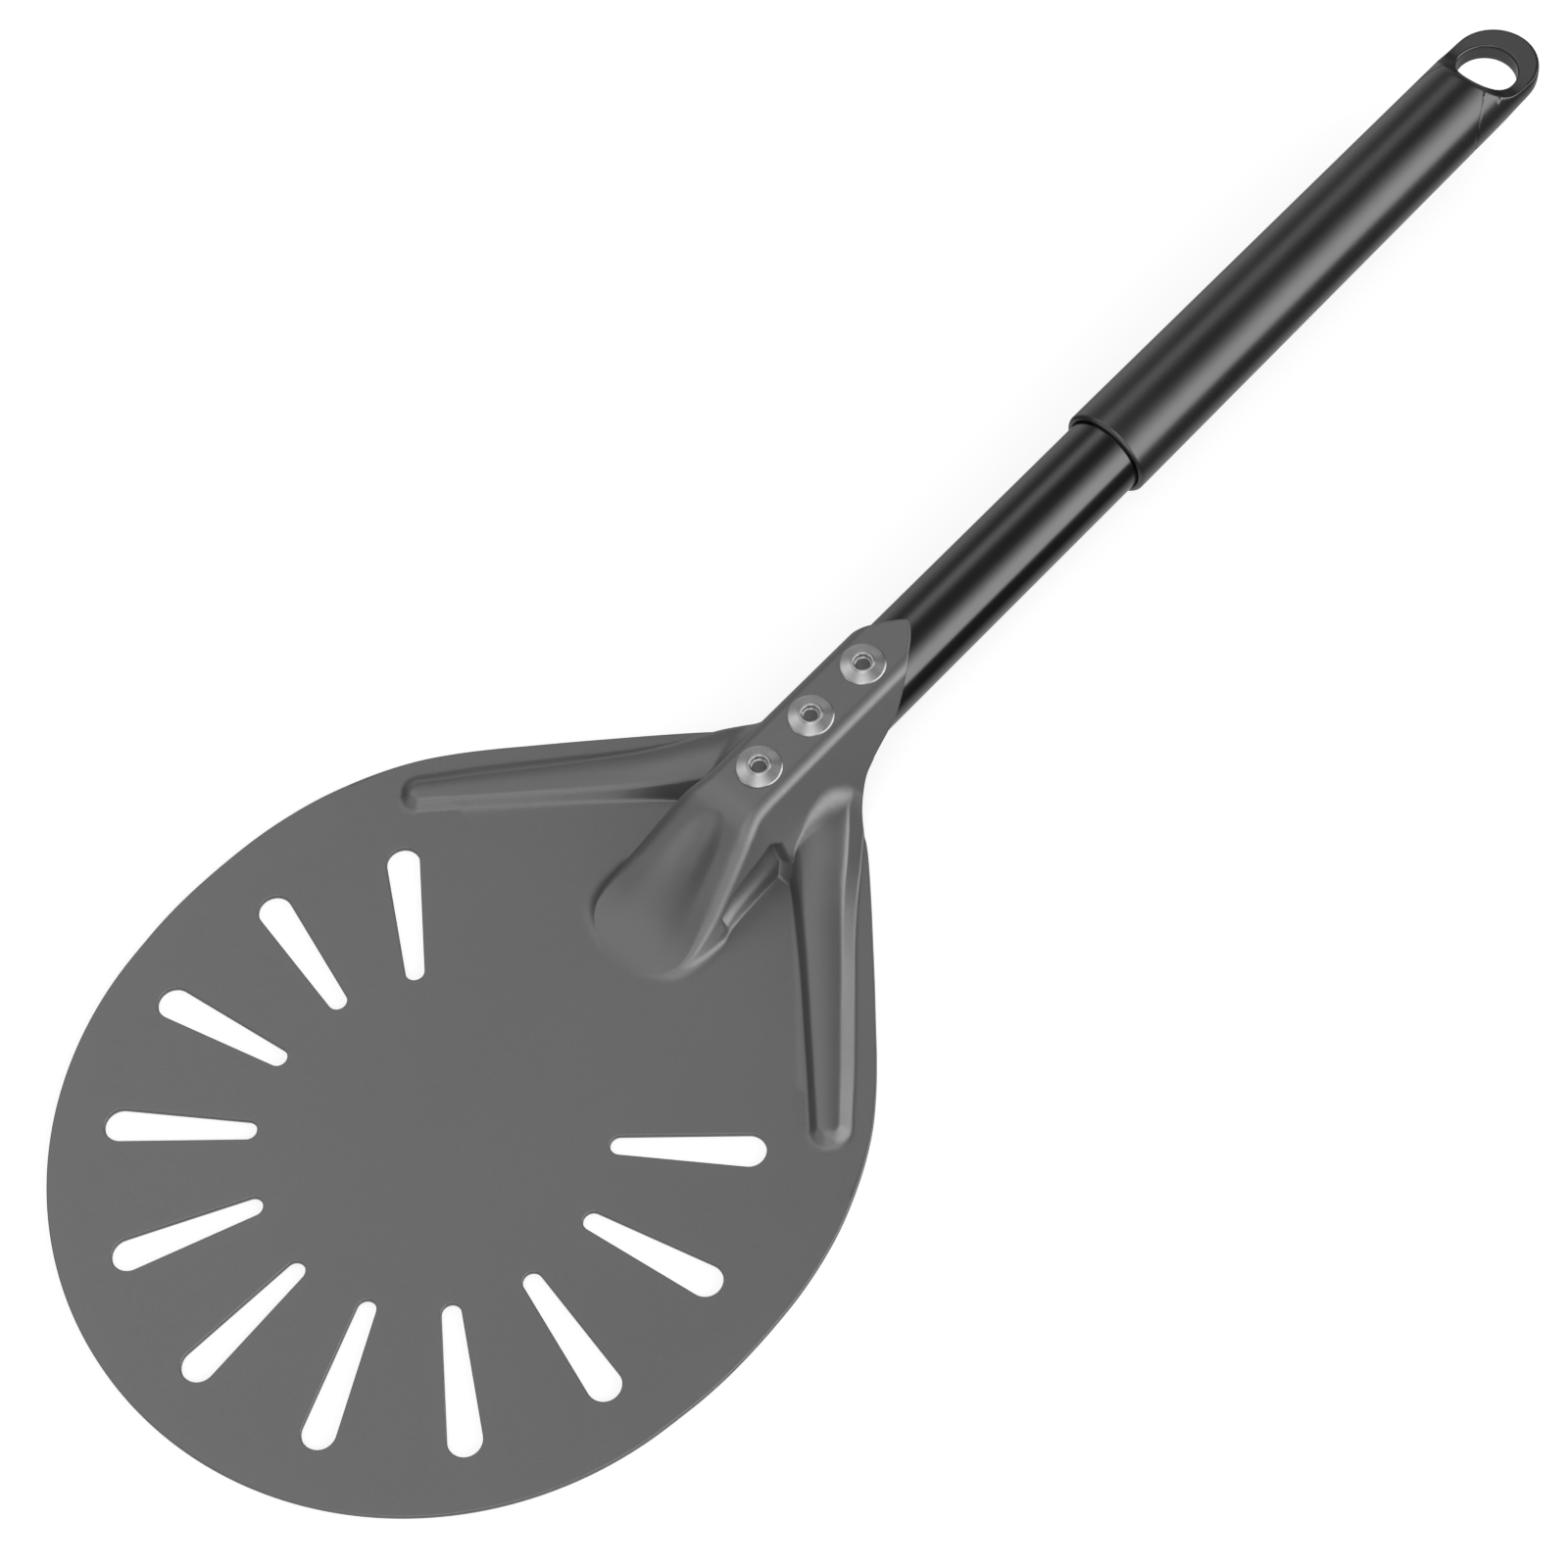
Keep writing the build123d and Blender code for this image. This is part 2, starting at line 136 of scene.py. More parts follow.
def lathe(name, profile, segments, origin, axis):
    """closed profile of (radius, height) rows turned about axis through origin"""
    axis = Vector(axis).normalized()
    across = Vector((0, 1, 0)).cross(axis).normalized()
    third = axis.cross(across)
    count = len(profile)
    verts, faces = [], []
    for k in range(segments):
        angle = 2 * math.pi * k / segments
        spoke = across * math.cos(angle) + third * math.sin(angle)
        verts += [(Vector(origin) + axis * height + spoke * radius) * MM
                  for radius, height in profile]
        here, after = k * count, ((k + 1) % segments) * count
        for i in range(count):
            j = (i + 1) % count
            faces.append([here + i, after + i, after + j, here + j])
    ob = new_mesh(name, verts, faces)
    merge_and_orient(ob, distance=1e-7)
    return ob


def axis_z(x):
    """height of the handle axis above z = 0"""
    return AXIS_Z + TUBE_SLOPE * (x - AXIS_X)


def roof(x):
    """top of the neck above the flat sheet's top face"""
    return axis_z(x) + NECK - SHEET


# ------------------------------------------------------------------ blade outline
# Blade sections are built on one side, with z above the flat sheet's top face.
# rounded shoulder: (angle from +X in degrees, radius)
SHOULDER = [
    (97.5, 110.1), (92.5, 110.6), (87.5, 111.3), (82.5, 112.2), (77.5, 113.5), (72.5, 115.2),
    (67.5, 117.0), (62.5, 118.9), (57.5, 120.7), (52.5, 122.6), (47.5, 124.4), (42.5, 125.9),
    (37.5, 127.6), (32.5, 129.9), (27.5, 133.3), (22.5, 137.8), (17.5, 143.7), (12.5, 151.0)]
# run in to the neck: (x, y)
RUN_IN = [(152.0, 27.2), (154.7, 24.2), (157.2, 21.9), (159.6, 20.1), (161.9, 18.8),
          (164.4, 17.8), (168.4, 16.9), (171.0, 16.4)]
OUTLINE = catmull([(radius * math.cos(math.radians(angle)), radius * math.sin(math.radians(angle)))
                   for angle, radius in SHOULDER] + RUN_IN, 12)
DISC_R = 110.05                    # rest of the outline, round the -X side

# free edge of the neck, from the outline to the tip on the centre line: (x, y, z)
NECK_EDGE = catmull([
    (168.2, 16.95, 11.8), (172.0, 16.1, 13.4), (176.2, 15.3, 15.1), (180.4, 14.5, 17.0),
    (184.2, 13.3, 19.9), (187.5, 12.0, 23.0), (190.0, 10.9, 25.6), (192.3, 9.5, 27.5),
    (195.4, 7.1, 28.3), (198.8, 4.7, 28.6), (201.4, 2.5, 28.8), (203.0, 0.8, 28.87),
    (203.4, 0.0, 28.9)], 10)


def outline_y(x):
    """half width of the blade's plan at station x"""
    return float(np.interp(x, OUTLINE[:, 0], OUTLINE[:, 1]))


# ------------------------------------------------------------------ rib beads
# The bead's frame: s runs along it towards -X and +Y, q across it, outward from the spine.
RIB_MID = np.array([109.6, 51.2])
RIB_ALONG = np.array([-0.722, 0.692])
RIB_ACROSS = np.array([0.692, 0.722])
# s, then q of inner foot, inner edge, outer edge and outer foot, then height
RIB = np.array([
    (-69.0, -20.5, -9.2, 15.0, 24.0, 12.1), (-62.0, -19.5, -9.0, 10.8, 18.0, 12.1),
    (-55.0, -18.0, -8.6, 8.1, 14.0, 11.9), (-47.0, -15.0, -8.2, 7.9, 11.5, 11.0),
    (-39.0, -12.2, -7.8, 7.2, 10.7, 9.3), (-34.0, -10.8, -7.5, 6.6, 10.2, 8.1),
    (-28.5, -9.8, -7.2, 5.8, 9.5, 7.0), (-19.0, -9.0, -6.7, 4.9, 8.7, 5.4),
    (-9.5, -8.4, -6.1, 4.5, 8.2, 4.6), (0.0, -7.8, -5.7, 4.1, 8.0, 4.1),
    (14.2, -7.3, -5.2, 3.5, 7.6, 3.8), (28.5, -6.7, -4.7, 3.1, 7.1, 3.6),
    (46.3, -6.0, -4.3, 2.4, 5.9, 3.4), (60.0, -5.7, -4.2, 2.2, 5.4, 3.3)])
NOSE_S = 46.3                      # the rounded nose starts here
NOSE_Q = float(curve(np.column_stack([RIB[:, 0], (RIB[:, 1] + RIB[:, 4]) / 2]), NOSE_S))
NOSE_SQUEEZE = 0.98
EDGE_SHARE = 0.84                  # height of the bead's edges as a share of its crown
FOLD_REACH = 0.5                   # how far the folds are eased
# samples that ease the folds: (shift as a share of the reach, weight)
FOLD_KERNEL = [(-1.0, 0.06), (-0.75, 0.1), (-0.5, 0.14), (-0.25, 0.17), (0.0, 0.06),
               (0.25, 0.17), (0.5, 0.14), (0.75, 0.1), (1.0, 0.06)]


def rib_frame(x, y):
    """plan point as (s, q) of the bead"""
    return [(x - RIB_MID[0]) * way[0] + (y - RIB_MID[1]) * way[1]
            for way in (RIB_ALONG, RIB_ACROSS)]


def rib_profile(s, q):
    """bead height across a section: straight flanks and a domed crown"""
    foot_in, edge_in, edge_out, foot_out, height = [curve(RIB[:, [0, k]], s) for k in range(1, 6)]
    edge = EDGE_SHARE * height
    z = np.zeros_like(q)
    z = np.where((q >= foot_in) & (q < edge_in),
                 edge * ((q - foot_in) / (edge_in - foot_in)), z)
    across = (q - edge_in) / (edge_out - edge_in)
    z = np.where((q >= edge_in) & (q <= edge_out),
                 edge + (height - edge) * (1 - (2 * across - 1)**2), z)
    return np.where((q > edge_out) & (q <= foot_out),
                    edge * ((foot_out - q) / (foot_out - edge_out)), z)


def rib_raw(x, y):
    """bead height with sharp folds; the nose is a half turn of the section"""
    s, q = rib_frame(x, y)
    ds, dq = s - NOSE_S, q - NOSE_Q
    radius = np.hypot(ds * NOSE_SQUEEZE, dq)
    turn = 0.5 + 0.5 * dq / np.maximum(radius, 1e-6)
    nose = (turn * rib_profile(NOSE_S, NOSE_Q + radius)
            + (1 - turn) * rib_profile(NOSE_S, NOSE_Q - radius))
    return np.where(s > NOSE_S, nose, rib_profile(s, q))


def rib_height(x, y):
    """bead height with eased folds; near the nose they are eased lengthwise too"""
    across, along = [
        sum(weight * rib_raw(x + way[0] * shift * FOLD_REACH, y + way[1] * shift * FOLD_REACH)
            for shift, weight in FOLD_KERNEL)
        for way in (RIB_ACROSS, RIB_ALONG)]
    near_nose = smoothstep(NOSE_S - 2, NOSE_S + 3, rib_frame(x, y)[0])
    total = sum(weight for _, weight in FOLD_KERNEL)
    return (across * (1 - 0.5 * near_nose) + along * 0.5 * near_nose) / total


def rib_plan_lines():
    """plan lines (x, y) of the bead's feet and edges, in order of x"""
    lines = []
    s = np.linspace(-69.0, NOSE_S, 240)
    for k in range(1, 5):
        q = curve(RIB[:, [0, k]], s)
        x, y = [RIB_MID[i] + s * RIB_ALONG[i] + q * RIB_ACROSS[i] for i in (0, 1)]
        order = np.argsort(x)
        lines.append((x[order], y[order]))
    return lines


RIB_LINES = rib_plan_lines()


# ------------------------------------------------------------------ spine and neck
def neck_row(x, widen, drop, fold):
    """spine row that follows the neck's true section"""
    height = roof(x) - drop
    return (x, NECK_TOP + widen + height * RUN, NECK_TOP + widen, height, fold)


# x, foot half width, top corner half width, height, fold radius
SPINE = np.array([
    (72.4, 1.4, 0.6, 0.0, 0.1), (73.6, 7.2, 4.2, 0.03, 0.2), (76.6, 13.3, 9.6, 0.3, 0.5),
    (81.0, 17.9, 14.8, 1.25, 0.9), (84.6, 19.3, 16.6, 2.3, 1.4), (89.8, 20.0, 17.2, 4.3, 2.8),
    (97.0, 20.2, 16.6, 8.2, 4.6), (105.0, 20.3, 15.2, 13.8, 5.8), (114.0, 20.8, 13.5, 20.2, 6.2),
    (121.5, 21.3, 11.8, 24.6, 5.6),
    neck_row(128.0, widen=0.25, drop=0.2, fold=4.9),
    neck_row(134.0, widen=0.05, drop=0.0, fold=4.6),
    neck_row(215.0, widen=0.0, drop=0.0, fold=4.6)])

# columns of a section: flat top, fold, wall, then the plate in five spans
# (foot to rib, inner flank, crown, outer flank, rib to outline)
N_TOP, N_FOLD, N_WALL = 16, 14, 30
WALL_START = N_TOP + N_FOLD
FOOT = WALL_START + N_WALL
PLATE_COUNTS = [16, 9, 14, 12, 9]
END_GAP = 0.55                     # points closer than this to a section's end join it

# spoon pressed into the top of the ramp: (x, half width) and (x, depth)
SPOON_HALF = [(72, 6.0), (78, 11.0), (85, 11.2), (92, 10.8), (98, 9.9), (105, 8.8), (111, 7.6),
              (115, 6.3), (118, 4.6), (120, 2.6), (121.3, 0.1)]
SPOON_DEPTH = [(72, 0.0), (80, 0.1), (88, 0.6), (98, 1.5), (106, 2.2), (112, 2.0), (116, 1.3),
               (119, 0.5), (121.3, 0.0)]

# dent in the side wall: (x, z of its upper edge) and (x, y of the lip at its foot)
DENT_TOP = [(96.6, 5.6), (99.5, 7.6), (102.3, 9.5), (111, 12.5), (117.7, 14.3), (124.6, 15.6),
            (130.5, 16.6)]
DENT_LIP = [(96.5, 20.2), (99.5, 19.7), (104, 18.95), (110, 18.3), (117, 17.8), (124, 17.4),
            (130.5, 17.0)]
DENT_X0, DENT_X1 = 96.6, 130.6
DENT_DEPTH = 1.45
DENT_ABOVE, DENT_INSIDE = 6, 20    # points above the dent and in it
CURL_FROM, CURL_SINE = 0.38, 0.80  # where the curl to the lip starts, and how far it turns

# room for easing the crease at the wall's foot: (x, length each way)
CREASE = [(72, 1.0), (76, 2.0), (84, 2.2), (90, 2.4), (98, 2.0), (102, 0.8), (126, 0.8),
          (132, 0.9), (136, 2.0), (142, 4.6), (149, 5.4), (155, 3.6), (159, 1.5), (168, 0.6)]


def spine_section(x):
    """half section of the spine, centre line to foot: points, height, wall top, foot"""
    foot_y, corner, height, fold = [float(curve(SPINE[:, [0, k]], x)) for k in (1, 2, 3, 4)]
    height = max(height, 0.0)
    foot_z = 0.0
    if x > 110:
        # the wall stops where it runs into the rib
        ys = np.linspace(corner, foot_y, 160)
        wall_z = height * (foot_y - ys) / (foot_y - corner)
        gap = wall_z - rib_height(np.full_like(ys, x), ys)
        met = np.flatnonzero(gap[:-1] <= 0)
        if met.size:
            foot_y, foot_z = float(ys[met[0]]), float(wall_z[met[0]])
    wall = np.array([foot_y - corner, foot_z - height])
    length = max(np.linalg.norm(wall), 1e-6)
    down = wall / length
    # the fold is an arc tangent to roof and wall
    turn = math.acos(max(-1, min(1, down[0])))
    cut = min(fold * math.tan(turn / 2), corner * 0.6, length * 0.62)
    radius = cut / max(math.tan(turn / 2), 1e-6)
    centre = np.array([corner - cut, height - radius])
    wall_top = np.array([corner, height]) + down * cut
    foot = np.array([foot_y, foot_z])
    points = [[(corner - cut) * i / N_TOP, height] for i in range(N_TOP)]
    points += [centre + radius * np.array([math.sin(turn * i / N_FOLD),
                                           math.cos(turn * i / N_FOLD)]) for i in range(N_FOLD)]
    points += [wall_top + (foot - wall_top) * i / N_WALL for i in range(N_WALL + 1)]
    return np.array(points), height, wall_top, foot


def spoon(x, y):
    """depth of the spoon in the ramp's top"""
    share = np.clip(np.abs(y) / np.maximum(curve(SPOON_HALF, x), 0.1), 0, 1)
    return curve(SPOON_DEPTH, x) * (1 - share**2)**1.7


def dented_wall(x, wall_top, foot):
    """wall with its dent: upright below a crisp upper edge, curving out to a lip at the foot"""
    top_y, top_z = wall_top
    foot_y, foot_z = foot
    dent_top = min(float(curve(DENT_TOP, x)), top_z - 0.4)
    dent_end = foot_z + 0.35
    lip_y = float(curve(DENT_LIP, x))
    spread = np.linspace(0, 1, DENT_INSIDE, endpoint=False)**1.15
    z = np.concatenate([np.linspace(top_z, dent_top, DENT_ABOVE, endpoint=False),
                        dent_top - (dent_top - dent_end) * spread,
                        np.linspace(dent_end, foot_z, N_WALL + 1 - DENT_ABOVE - DENT_INSIDE)])
    z = np.minimum.accumulate(z)
    y = top_y + (foot_y - top_y) * (top_z - z) / max(top_z - foot_z, 1e-6)
    edge_y = float(np.interp(-dent_top, -z, y))
    depth = np.clip((dent_top - z) / max(dent_top - 0.2, 1e-6), 0, 1)
    curl = np.clip((depth - CURL_FROM) / (1 - CURL_FROM), 0, 1)
    arc = (1 - np.cos(np.arcsin(curl * CURL_SINE))) / (1 - math.cos(math.asin(CURL_SINE)))
    dented = (edge_y - DENT_DEPTH * np.sin(np.pi * np.clip(depth / 0.8, 0, 1))
              + (lip_y - edge_y) * arc)
    # the dent starts crisply above and slowly at the foot, and ends on a slant
    low = smoothstep(0.55, 1.0, depth)
    start = (smoothstep(101.0, 102.8, x + 0.06 * (z - 7.0)) * (1 - low)
             + smoothstep(DENT_X0, 103.5, x) * low)
    end = 1 - smoothstep(124.6, 126.2, x - 1.05 * np.clip(15.6 - z, 0, 3.4))
    amount = start * end * smoothstep(0.0, 0.10, depth)
    return y + np.minimum(dented - y, 0) * amount, z


def plate_ys(x, foot_y):
    """y of the plate's points, from just outside the foot to the outline"""
    end_y = max(outline_y(x), foot_y + 1e-3)
    rib_ys = [float(np.interp(max(x, 80.0), line_x, line_y)) for line_x, line_y in RIB_LINES]
    marks = [foot_y] + [min(max(y, foot_y), end_y) for y in rib_ys] + [end_y]
    spans = []
    for start, end, count in zip(marks[:-1], marks[1:], PLATE_COUNTS):
        share = np.linspace(0, 1, count, endpoint=False)
        if start == foot_y:
            share = share**1.6
        spans.append(start + (end - start) * share)
    return np.concatenate(spans + [[end_y]])[1:]


def ease_foot(section, x):
    """round the crease where the wall meets the plate or the rib, in place"""
    arc = arc_lengths(section)
    middle = arc[FOOT]
    room = min(float(curve(CREASE, x)), max((middle - arc[WALL_START]) * 0.8, 0.05),
               max((arc[-1] - middle) * 0.8, 0.05))
    near = np.abs(arc - middle) < room
    before, after = [np.array([np.interp(at, arc, section[:, 0]), np.interp(at, arc, section[:, 1])])
                     for at in (middle - room, middle + room)]
    corner = section[FOOT].copy()
    u = (((arc[near] - middle) / room + 1) / 2)[:, None]
    section[near] = (1 - u)**2 * before + 2 * u * (1 - u) * corner + u**2 * after


def half_section(x):
    """whole half section (y, z) at station x, centre line to outline"""
    points, height, wall_top, foot = spine_section(x)
    y, z = points[:, 0], points[:, 1]
    z[:WALL_START] -= spoon(x, y[:WALL_START])
    if DENT_X0 < x < DENT_X1 and height > 4:
        y[WALL_START:], z[WALL_START:] = dented_wall(x, wall_top, foot)
    outer_y = plate_ys(x, foot[0])
    outer_z = rib_height(np.full_like(outer_y, x), outer_y)
    section = np.vstack([points, np.column_stack([outer_y, outer_z])])
    if height > 0.02:
        ease_foot(section, x)
    return section


def wall_end(x, section):
    """point (y, z) where the blade's edge cuts the wall, or None"""
    if x > NECK_EDGE[0, 0]:
        return np.array([np.interp(x, NECK_EDGE[:, 0], NECK_EDGE[:, k]) for k in (1, 2)])
    if x > 150.0:
        edge_y = outline_y(x)
        if section[FOOT, 0] > edge_y - 0.3:
            wall = section[N_TOP:FOOT + 1]
            return np.array([edge_y, np.interp(edge_y, wall[:, 0], wall[:, 1])])
    return None


def cut_section(x, section, end):
    """gather every point beyond end on the nearest point of the wall"""
    spine = section[:FOOT + 1]
    arc = arc_lengths(spine)
    best = 1e9
    for i in range(len(spine) - 1):
        step = spine[i + 1] - spine[i]
        u = np.clip(np.dot(end - spine[i], step) / max(np.dot(step, step), 1e-12), 0, 1)
        point = spine[i] + u * step
        distance = np.hypot(*(end - point))
        if distance < best:
            best, at, foot = distance, arc[i] + u * np.hypot(*step), point
    if x > 203.35:                 # the tip closes on the centre line
        at, foot = 0.0, spine[0]
    out = section.copy()
    reach = np.concatenate([arc, np.full(len(section) - FOOT - 1, np.inf)])
    out[reach > at - END_GAP] = foot
    out[0, 0] = 0.0
    return out


# ------------------------------------------------------------------ blade surface
SEAM_X = 64.0                      # sections on its +X side, flat plate on its -X side
STATIONS = np.concatenate([
    np.arange(SEAM_X, 72.0, 1.6), np.arange(72.0, 100, 0.7), np.arange(100, 106, 0.3),
    np.arange(106, 124, 0.7), np.arange(124, 131, 0.35), np.arange(131, 172, 0.7),
    np.arange(172, 196, 0.6),
    [196.4, 197.2, 198.0, 198.8, 199.6, 200.3, 201.0, 201.6, 202.1, 202.5, 202.8, 203.1, 203.3,
     203.4]])
GRID_START, GRID_PITCH, GRID_REACH = -104, 7.0, 106

# slots: radii of the ends from the blade's centre, end arc radii, positions in a full turn
SLOT_OUT, SLOT_IN = 94.9, 50.6
SLOT_R_OUT, SLOT_R_IN = 4.95, 2.85
SLOT_POSITIONS = 14
SLOT_STEP = 3.0                    # longest gap between points on a flank

RIM_R = 0.32                       # eased sheet edge
WELD_PER_MM = 50                   # points within 1/50 mm become one


class Surface:
    """vertices and faces, with near points welded"""

    def __init__(self):
        self.verts, self.faces, self.index = [], [], {}

    def vert(self, point):
        key = tuple(round(value * WELD_PER_MM) for value in point)
        if key not in self.index:
            self.index[key] = len(self.verts)
            self.verts.append(point)
        return self.index[key]

    def face(self, ids):
        """add a face unless welding has collapsed it"""
        clean = []
        for i in ids:
            if not clean or clean[-1] != i:
                clean.append(i)
        if len(clean) > 1 and clean[0] == clean[-1]:
            clean.pop()
        if len(clean) >= 3 and len(set(clean)) == len(clean):
            self.faces.append(clean)


def sweep_sections(surface):
    """the blade from the seam to the neck's tip, both sides"""
    rows = []
    for x in STATIONS:
        section = half_section(x)
        end = wall_end(x, section)
        if end is not None:
            section = cut_section(x, section, end)
        else:
            last = section[-1].copy()
            near = np.hypot(section[:, 0] - last[0], section[:, 1] - last[1]) < END_GAP
            near[:FOOT] = False
            section[near] = last
        rows.append([(x, y, z) for y, z in section])
    for side in (1, -1):
        grid = [[surface.vert((x, side * y, z)) for x, y, z in row] for row in rows]
        for here, after in zip(grid[:-1], grid[1:]):
            for j in range(len(here) - 1):
                surface.face([here[j], after[j], after[j + 1], here[j + 1]][::side])


def slot_loop(angle):
    """outline of one radial slot, wider at its outer end"""
    centre_out, centre_in = SLOT_OUT - SLOT_R_OUT, SLOT_IN + SLOT_R_IN
    # the flanks spread outward, so each end arc is a little more or less than a half turn
    spread = math.acos((SLOT_R_OUT - SLOT_R_IN) / (centre_out - centre_in))
    half_out = math.pi / 2 + (math.pi / 2 - spread)
    points = []
    for centre, radius, start, end, count in (
            (centre_out, SLOT_R_OUT, -half_out, half_out, 26),
            (centre_in, SLOT_R_IN, half_out, 3 * math.pi / 2 - (math.pi / 2 - spread), 20)):
        points += [(centre + radius * math.cos(t), radius * math.sin(t))
                   for t in np.linspace(start, end, count)]
    full = []
    for i, (xa, ya) in enumerate(points):
        xb, yb = points[(i + 1) % len(points)]
        count = int(math.hypot(xb - xa, yb - ya) // SLOT_STEP) + 1
        full += [(xa, ya)]
        full += [(xa + (xb - xa) * j / count, ya + (yb - ya) * j / count)
                 for j in range(1, count)]
    cos, sin = math.cos(angle), math.sin(angle)
    return [(x * cos - y * sin, x * sin + y * cos) for x, y in full]


def fill_plate(surface):
    """flat plate on the -X side of the seam, with its ring of slots"""
    verts = surface.verts
    seam = sorted((i for i, v in enumerate(verts) if abs(v[0] - SEAM_X) < 1e-6),
                  key=lambda i: verts[i][1])
    upper = [tuple(p) for p in OUTLINE[OUTLINE[:, 0] < SEAM_X - 0.6][::-1]]
    start = math.degrees(math.atan2(OUTLINE[0, 1], OUTLINE[0, 0]))
    disc = [(DISC_R * math.cos(math.radians(a)), DISC_R * math.sin(math.radians(a)))
            for a in np.linspace(start, 360 - start, 150)[1:-1]]
    plan = [(verts[i][0], verts[i][1]) for i in seam]
    plan += upper + disc + [(x, -y) for x, y in upper[::-1]]
    outer = np.array(plan)
    loops = [list(range(len(plan)))]
    slots = []
    for k in range(-5, 6):
        points = slot_loop(math.pi + k * 2 * math.pi / SLOT_POSITIONS)
        loops.append(list(range(len(plan), len(plan) + len(points)))[::-1])
        plan += points
        slots.append(np.array(points[::-1]))
    # a light grid of inner points keeps the flat's triangles even
    for column, x in enumerate(np.arange(GRID_START, SEAM_X - 3, GRID_PITCH)):
        for row_y in np.arange(-108, 108.1, GRID_PITCH):
            y = row_y + (GRID_PITCH / 2 if column % 2 else 0)
            if (math.hypot(x, y) > GRID_REACH or any(inside(s, x, y) for s in slots)
                    or min(np.min(np.hypot(s[:, 0] - x, s[:, 1] - y)) for s in slots) < 2.6):
                continue
            plan.append((x, y))
    edges = [(loop[i], loop[(i + 1) % len(loop)]) for loop in loops for i in range(len(loop))]
    flat_verts, _, flat_faces, sources, _, _ = geometry.delaunay_2d_cdt(
        [Vector(p) for p in plan], edges, [], 0, 1e-5)
    ids = [seam[source[0]] if source and source[0] < len(seam) else surface.vert((v.x, v.y, 0.0))
           for v, source in zip(flat_verts, sources)]
    for face in flat_faces:
        x = sum(flat_verts[i].x for i in face) / len(face)
        y = sum(flat_verts[i].y for i in face) / len(face)
        if inside(outer, x, y) and not any(inside(s, x, y) for s in slots):
            surface.face([ids[i] for i in face])


def top_bmesh(surface):
    """the sheet's top face, facing up"""
    bm = bmesh.new()
    verts = [bm.verts.new(v) for v in surface.verts]
    for ids in surface.faces:
        corners = [verts[i] for i in ids]
        if bm.faces.get(corners) is None:
            bm.faces.new(corners)
    bmesh.ops.delete(bm, geom=[v for v in bm.verts if not v.link_faces], context="VERTS")
    bmesh.ops.recalc_face_normals(bm, faces=bm.faces)
    bm.normal_update()
    if sum(f.normal.z * f.calc_area() for f in bm.faces) < 0:
        bmesh.ops.reverse_faces(bm, faces=bm.faces)
        bm.normal_update()
    bm.verts.index_update()
    return bm


def eased_normals(bm, points):
    """vertex normals smoothed over their neighbours, upright on the flat"""
    normals = np.array([v.normal for v in bm.verts])
    first, second = np.array([[v.index for v in e.verts] for e in bm.edges]).T
    weight = 1.0 / np.maximum(np.linalg.norm(points[first] - points[second], axis=1), 0.3)
    eased = normals.copy()
    for _ in range(10):
        total, share = eased * 0.6, np.full(len(points), 0.6)
        np.add.at(total, first, eased[second] * weight[:, None])
        np.add.at(total, second, eased[first] * weight[:, None])
        np.add.at(share, first, weight)
        np.add.at(share, second, weight)
        eased = total / share[:, None]
        eased /= np.maximum(np.linalg.norm(eased, axis=1)[:, None], 1e-9)
    eased[(np.abs(points[:, 2]) < 0.02) & (normals[:, 2] > 0.999)] = (0, 0, 1)
    return eased


def rim_of(bm):
    """border edges in face order, and the inward direction at each vertex"""
    inward = np.zeros((len(bm.verts), 3))
    edges = []
    for edge in (e for e in bm.edges if e.is_boundary):
        face = edge.link_faces[0]
        start, end = edge.verts
        along = (end.co - start.co).normalized()
        into = face.calc_center_median() - start.co
        into -= along * into.dot(along)
        into.normalize()
        inward[start.index] += np.array(into)
        inward[end.index] += np.array(into)
        ids = [v.index for v in face.verts]
        pair = (start.index, end.index)
        if ids[(ids.index(pair[0]) + 1) % len(ids)] != pair[1]:
            pair = pair[::-1]
        edges.append(pair)
    length = np.linalg.norm(inward, axis=1)
    inward[length > 0] /= length[length > 0][:, None]
    return edges, inward


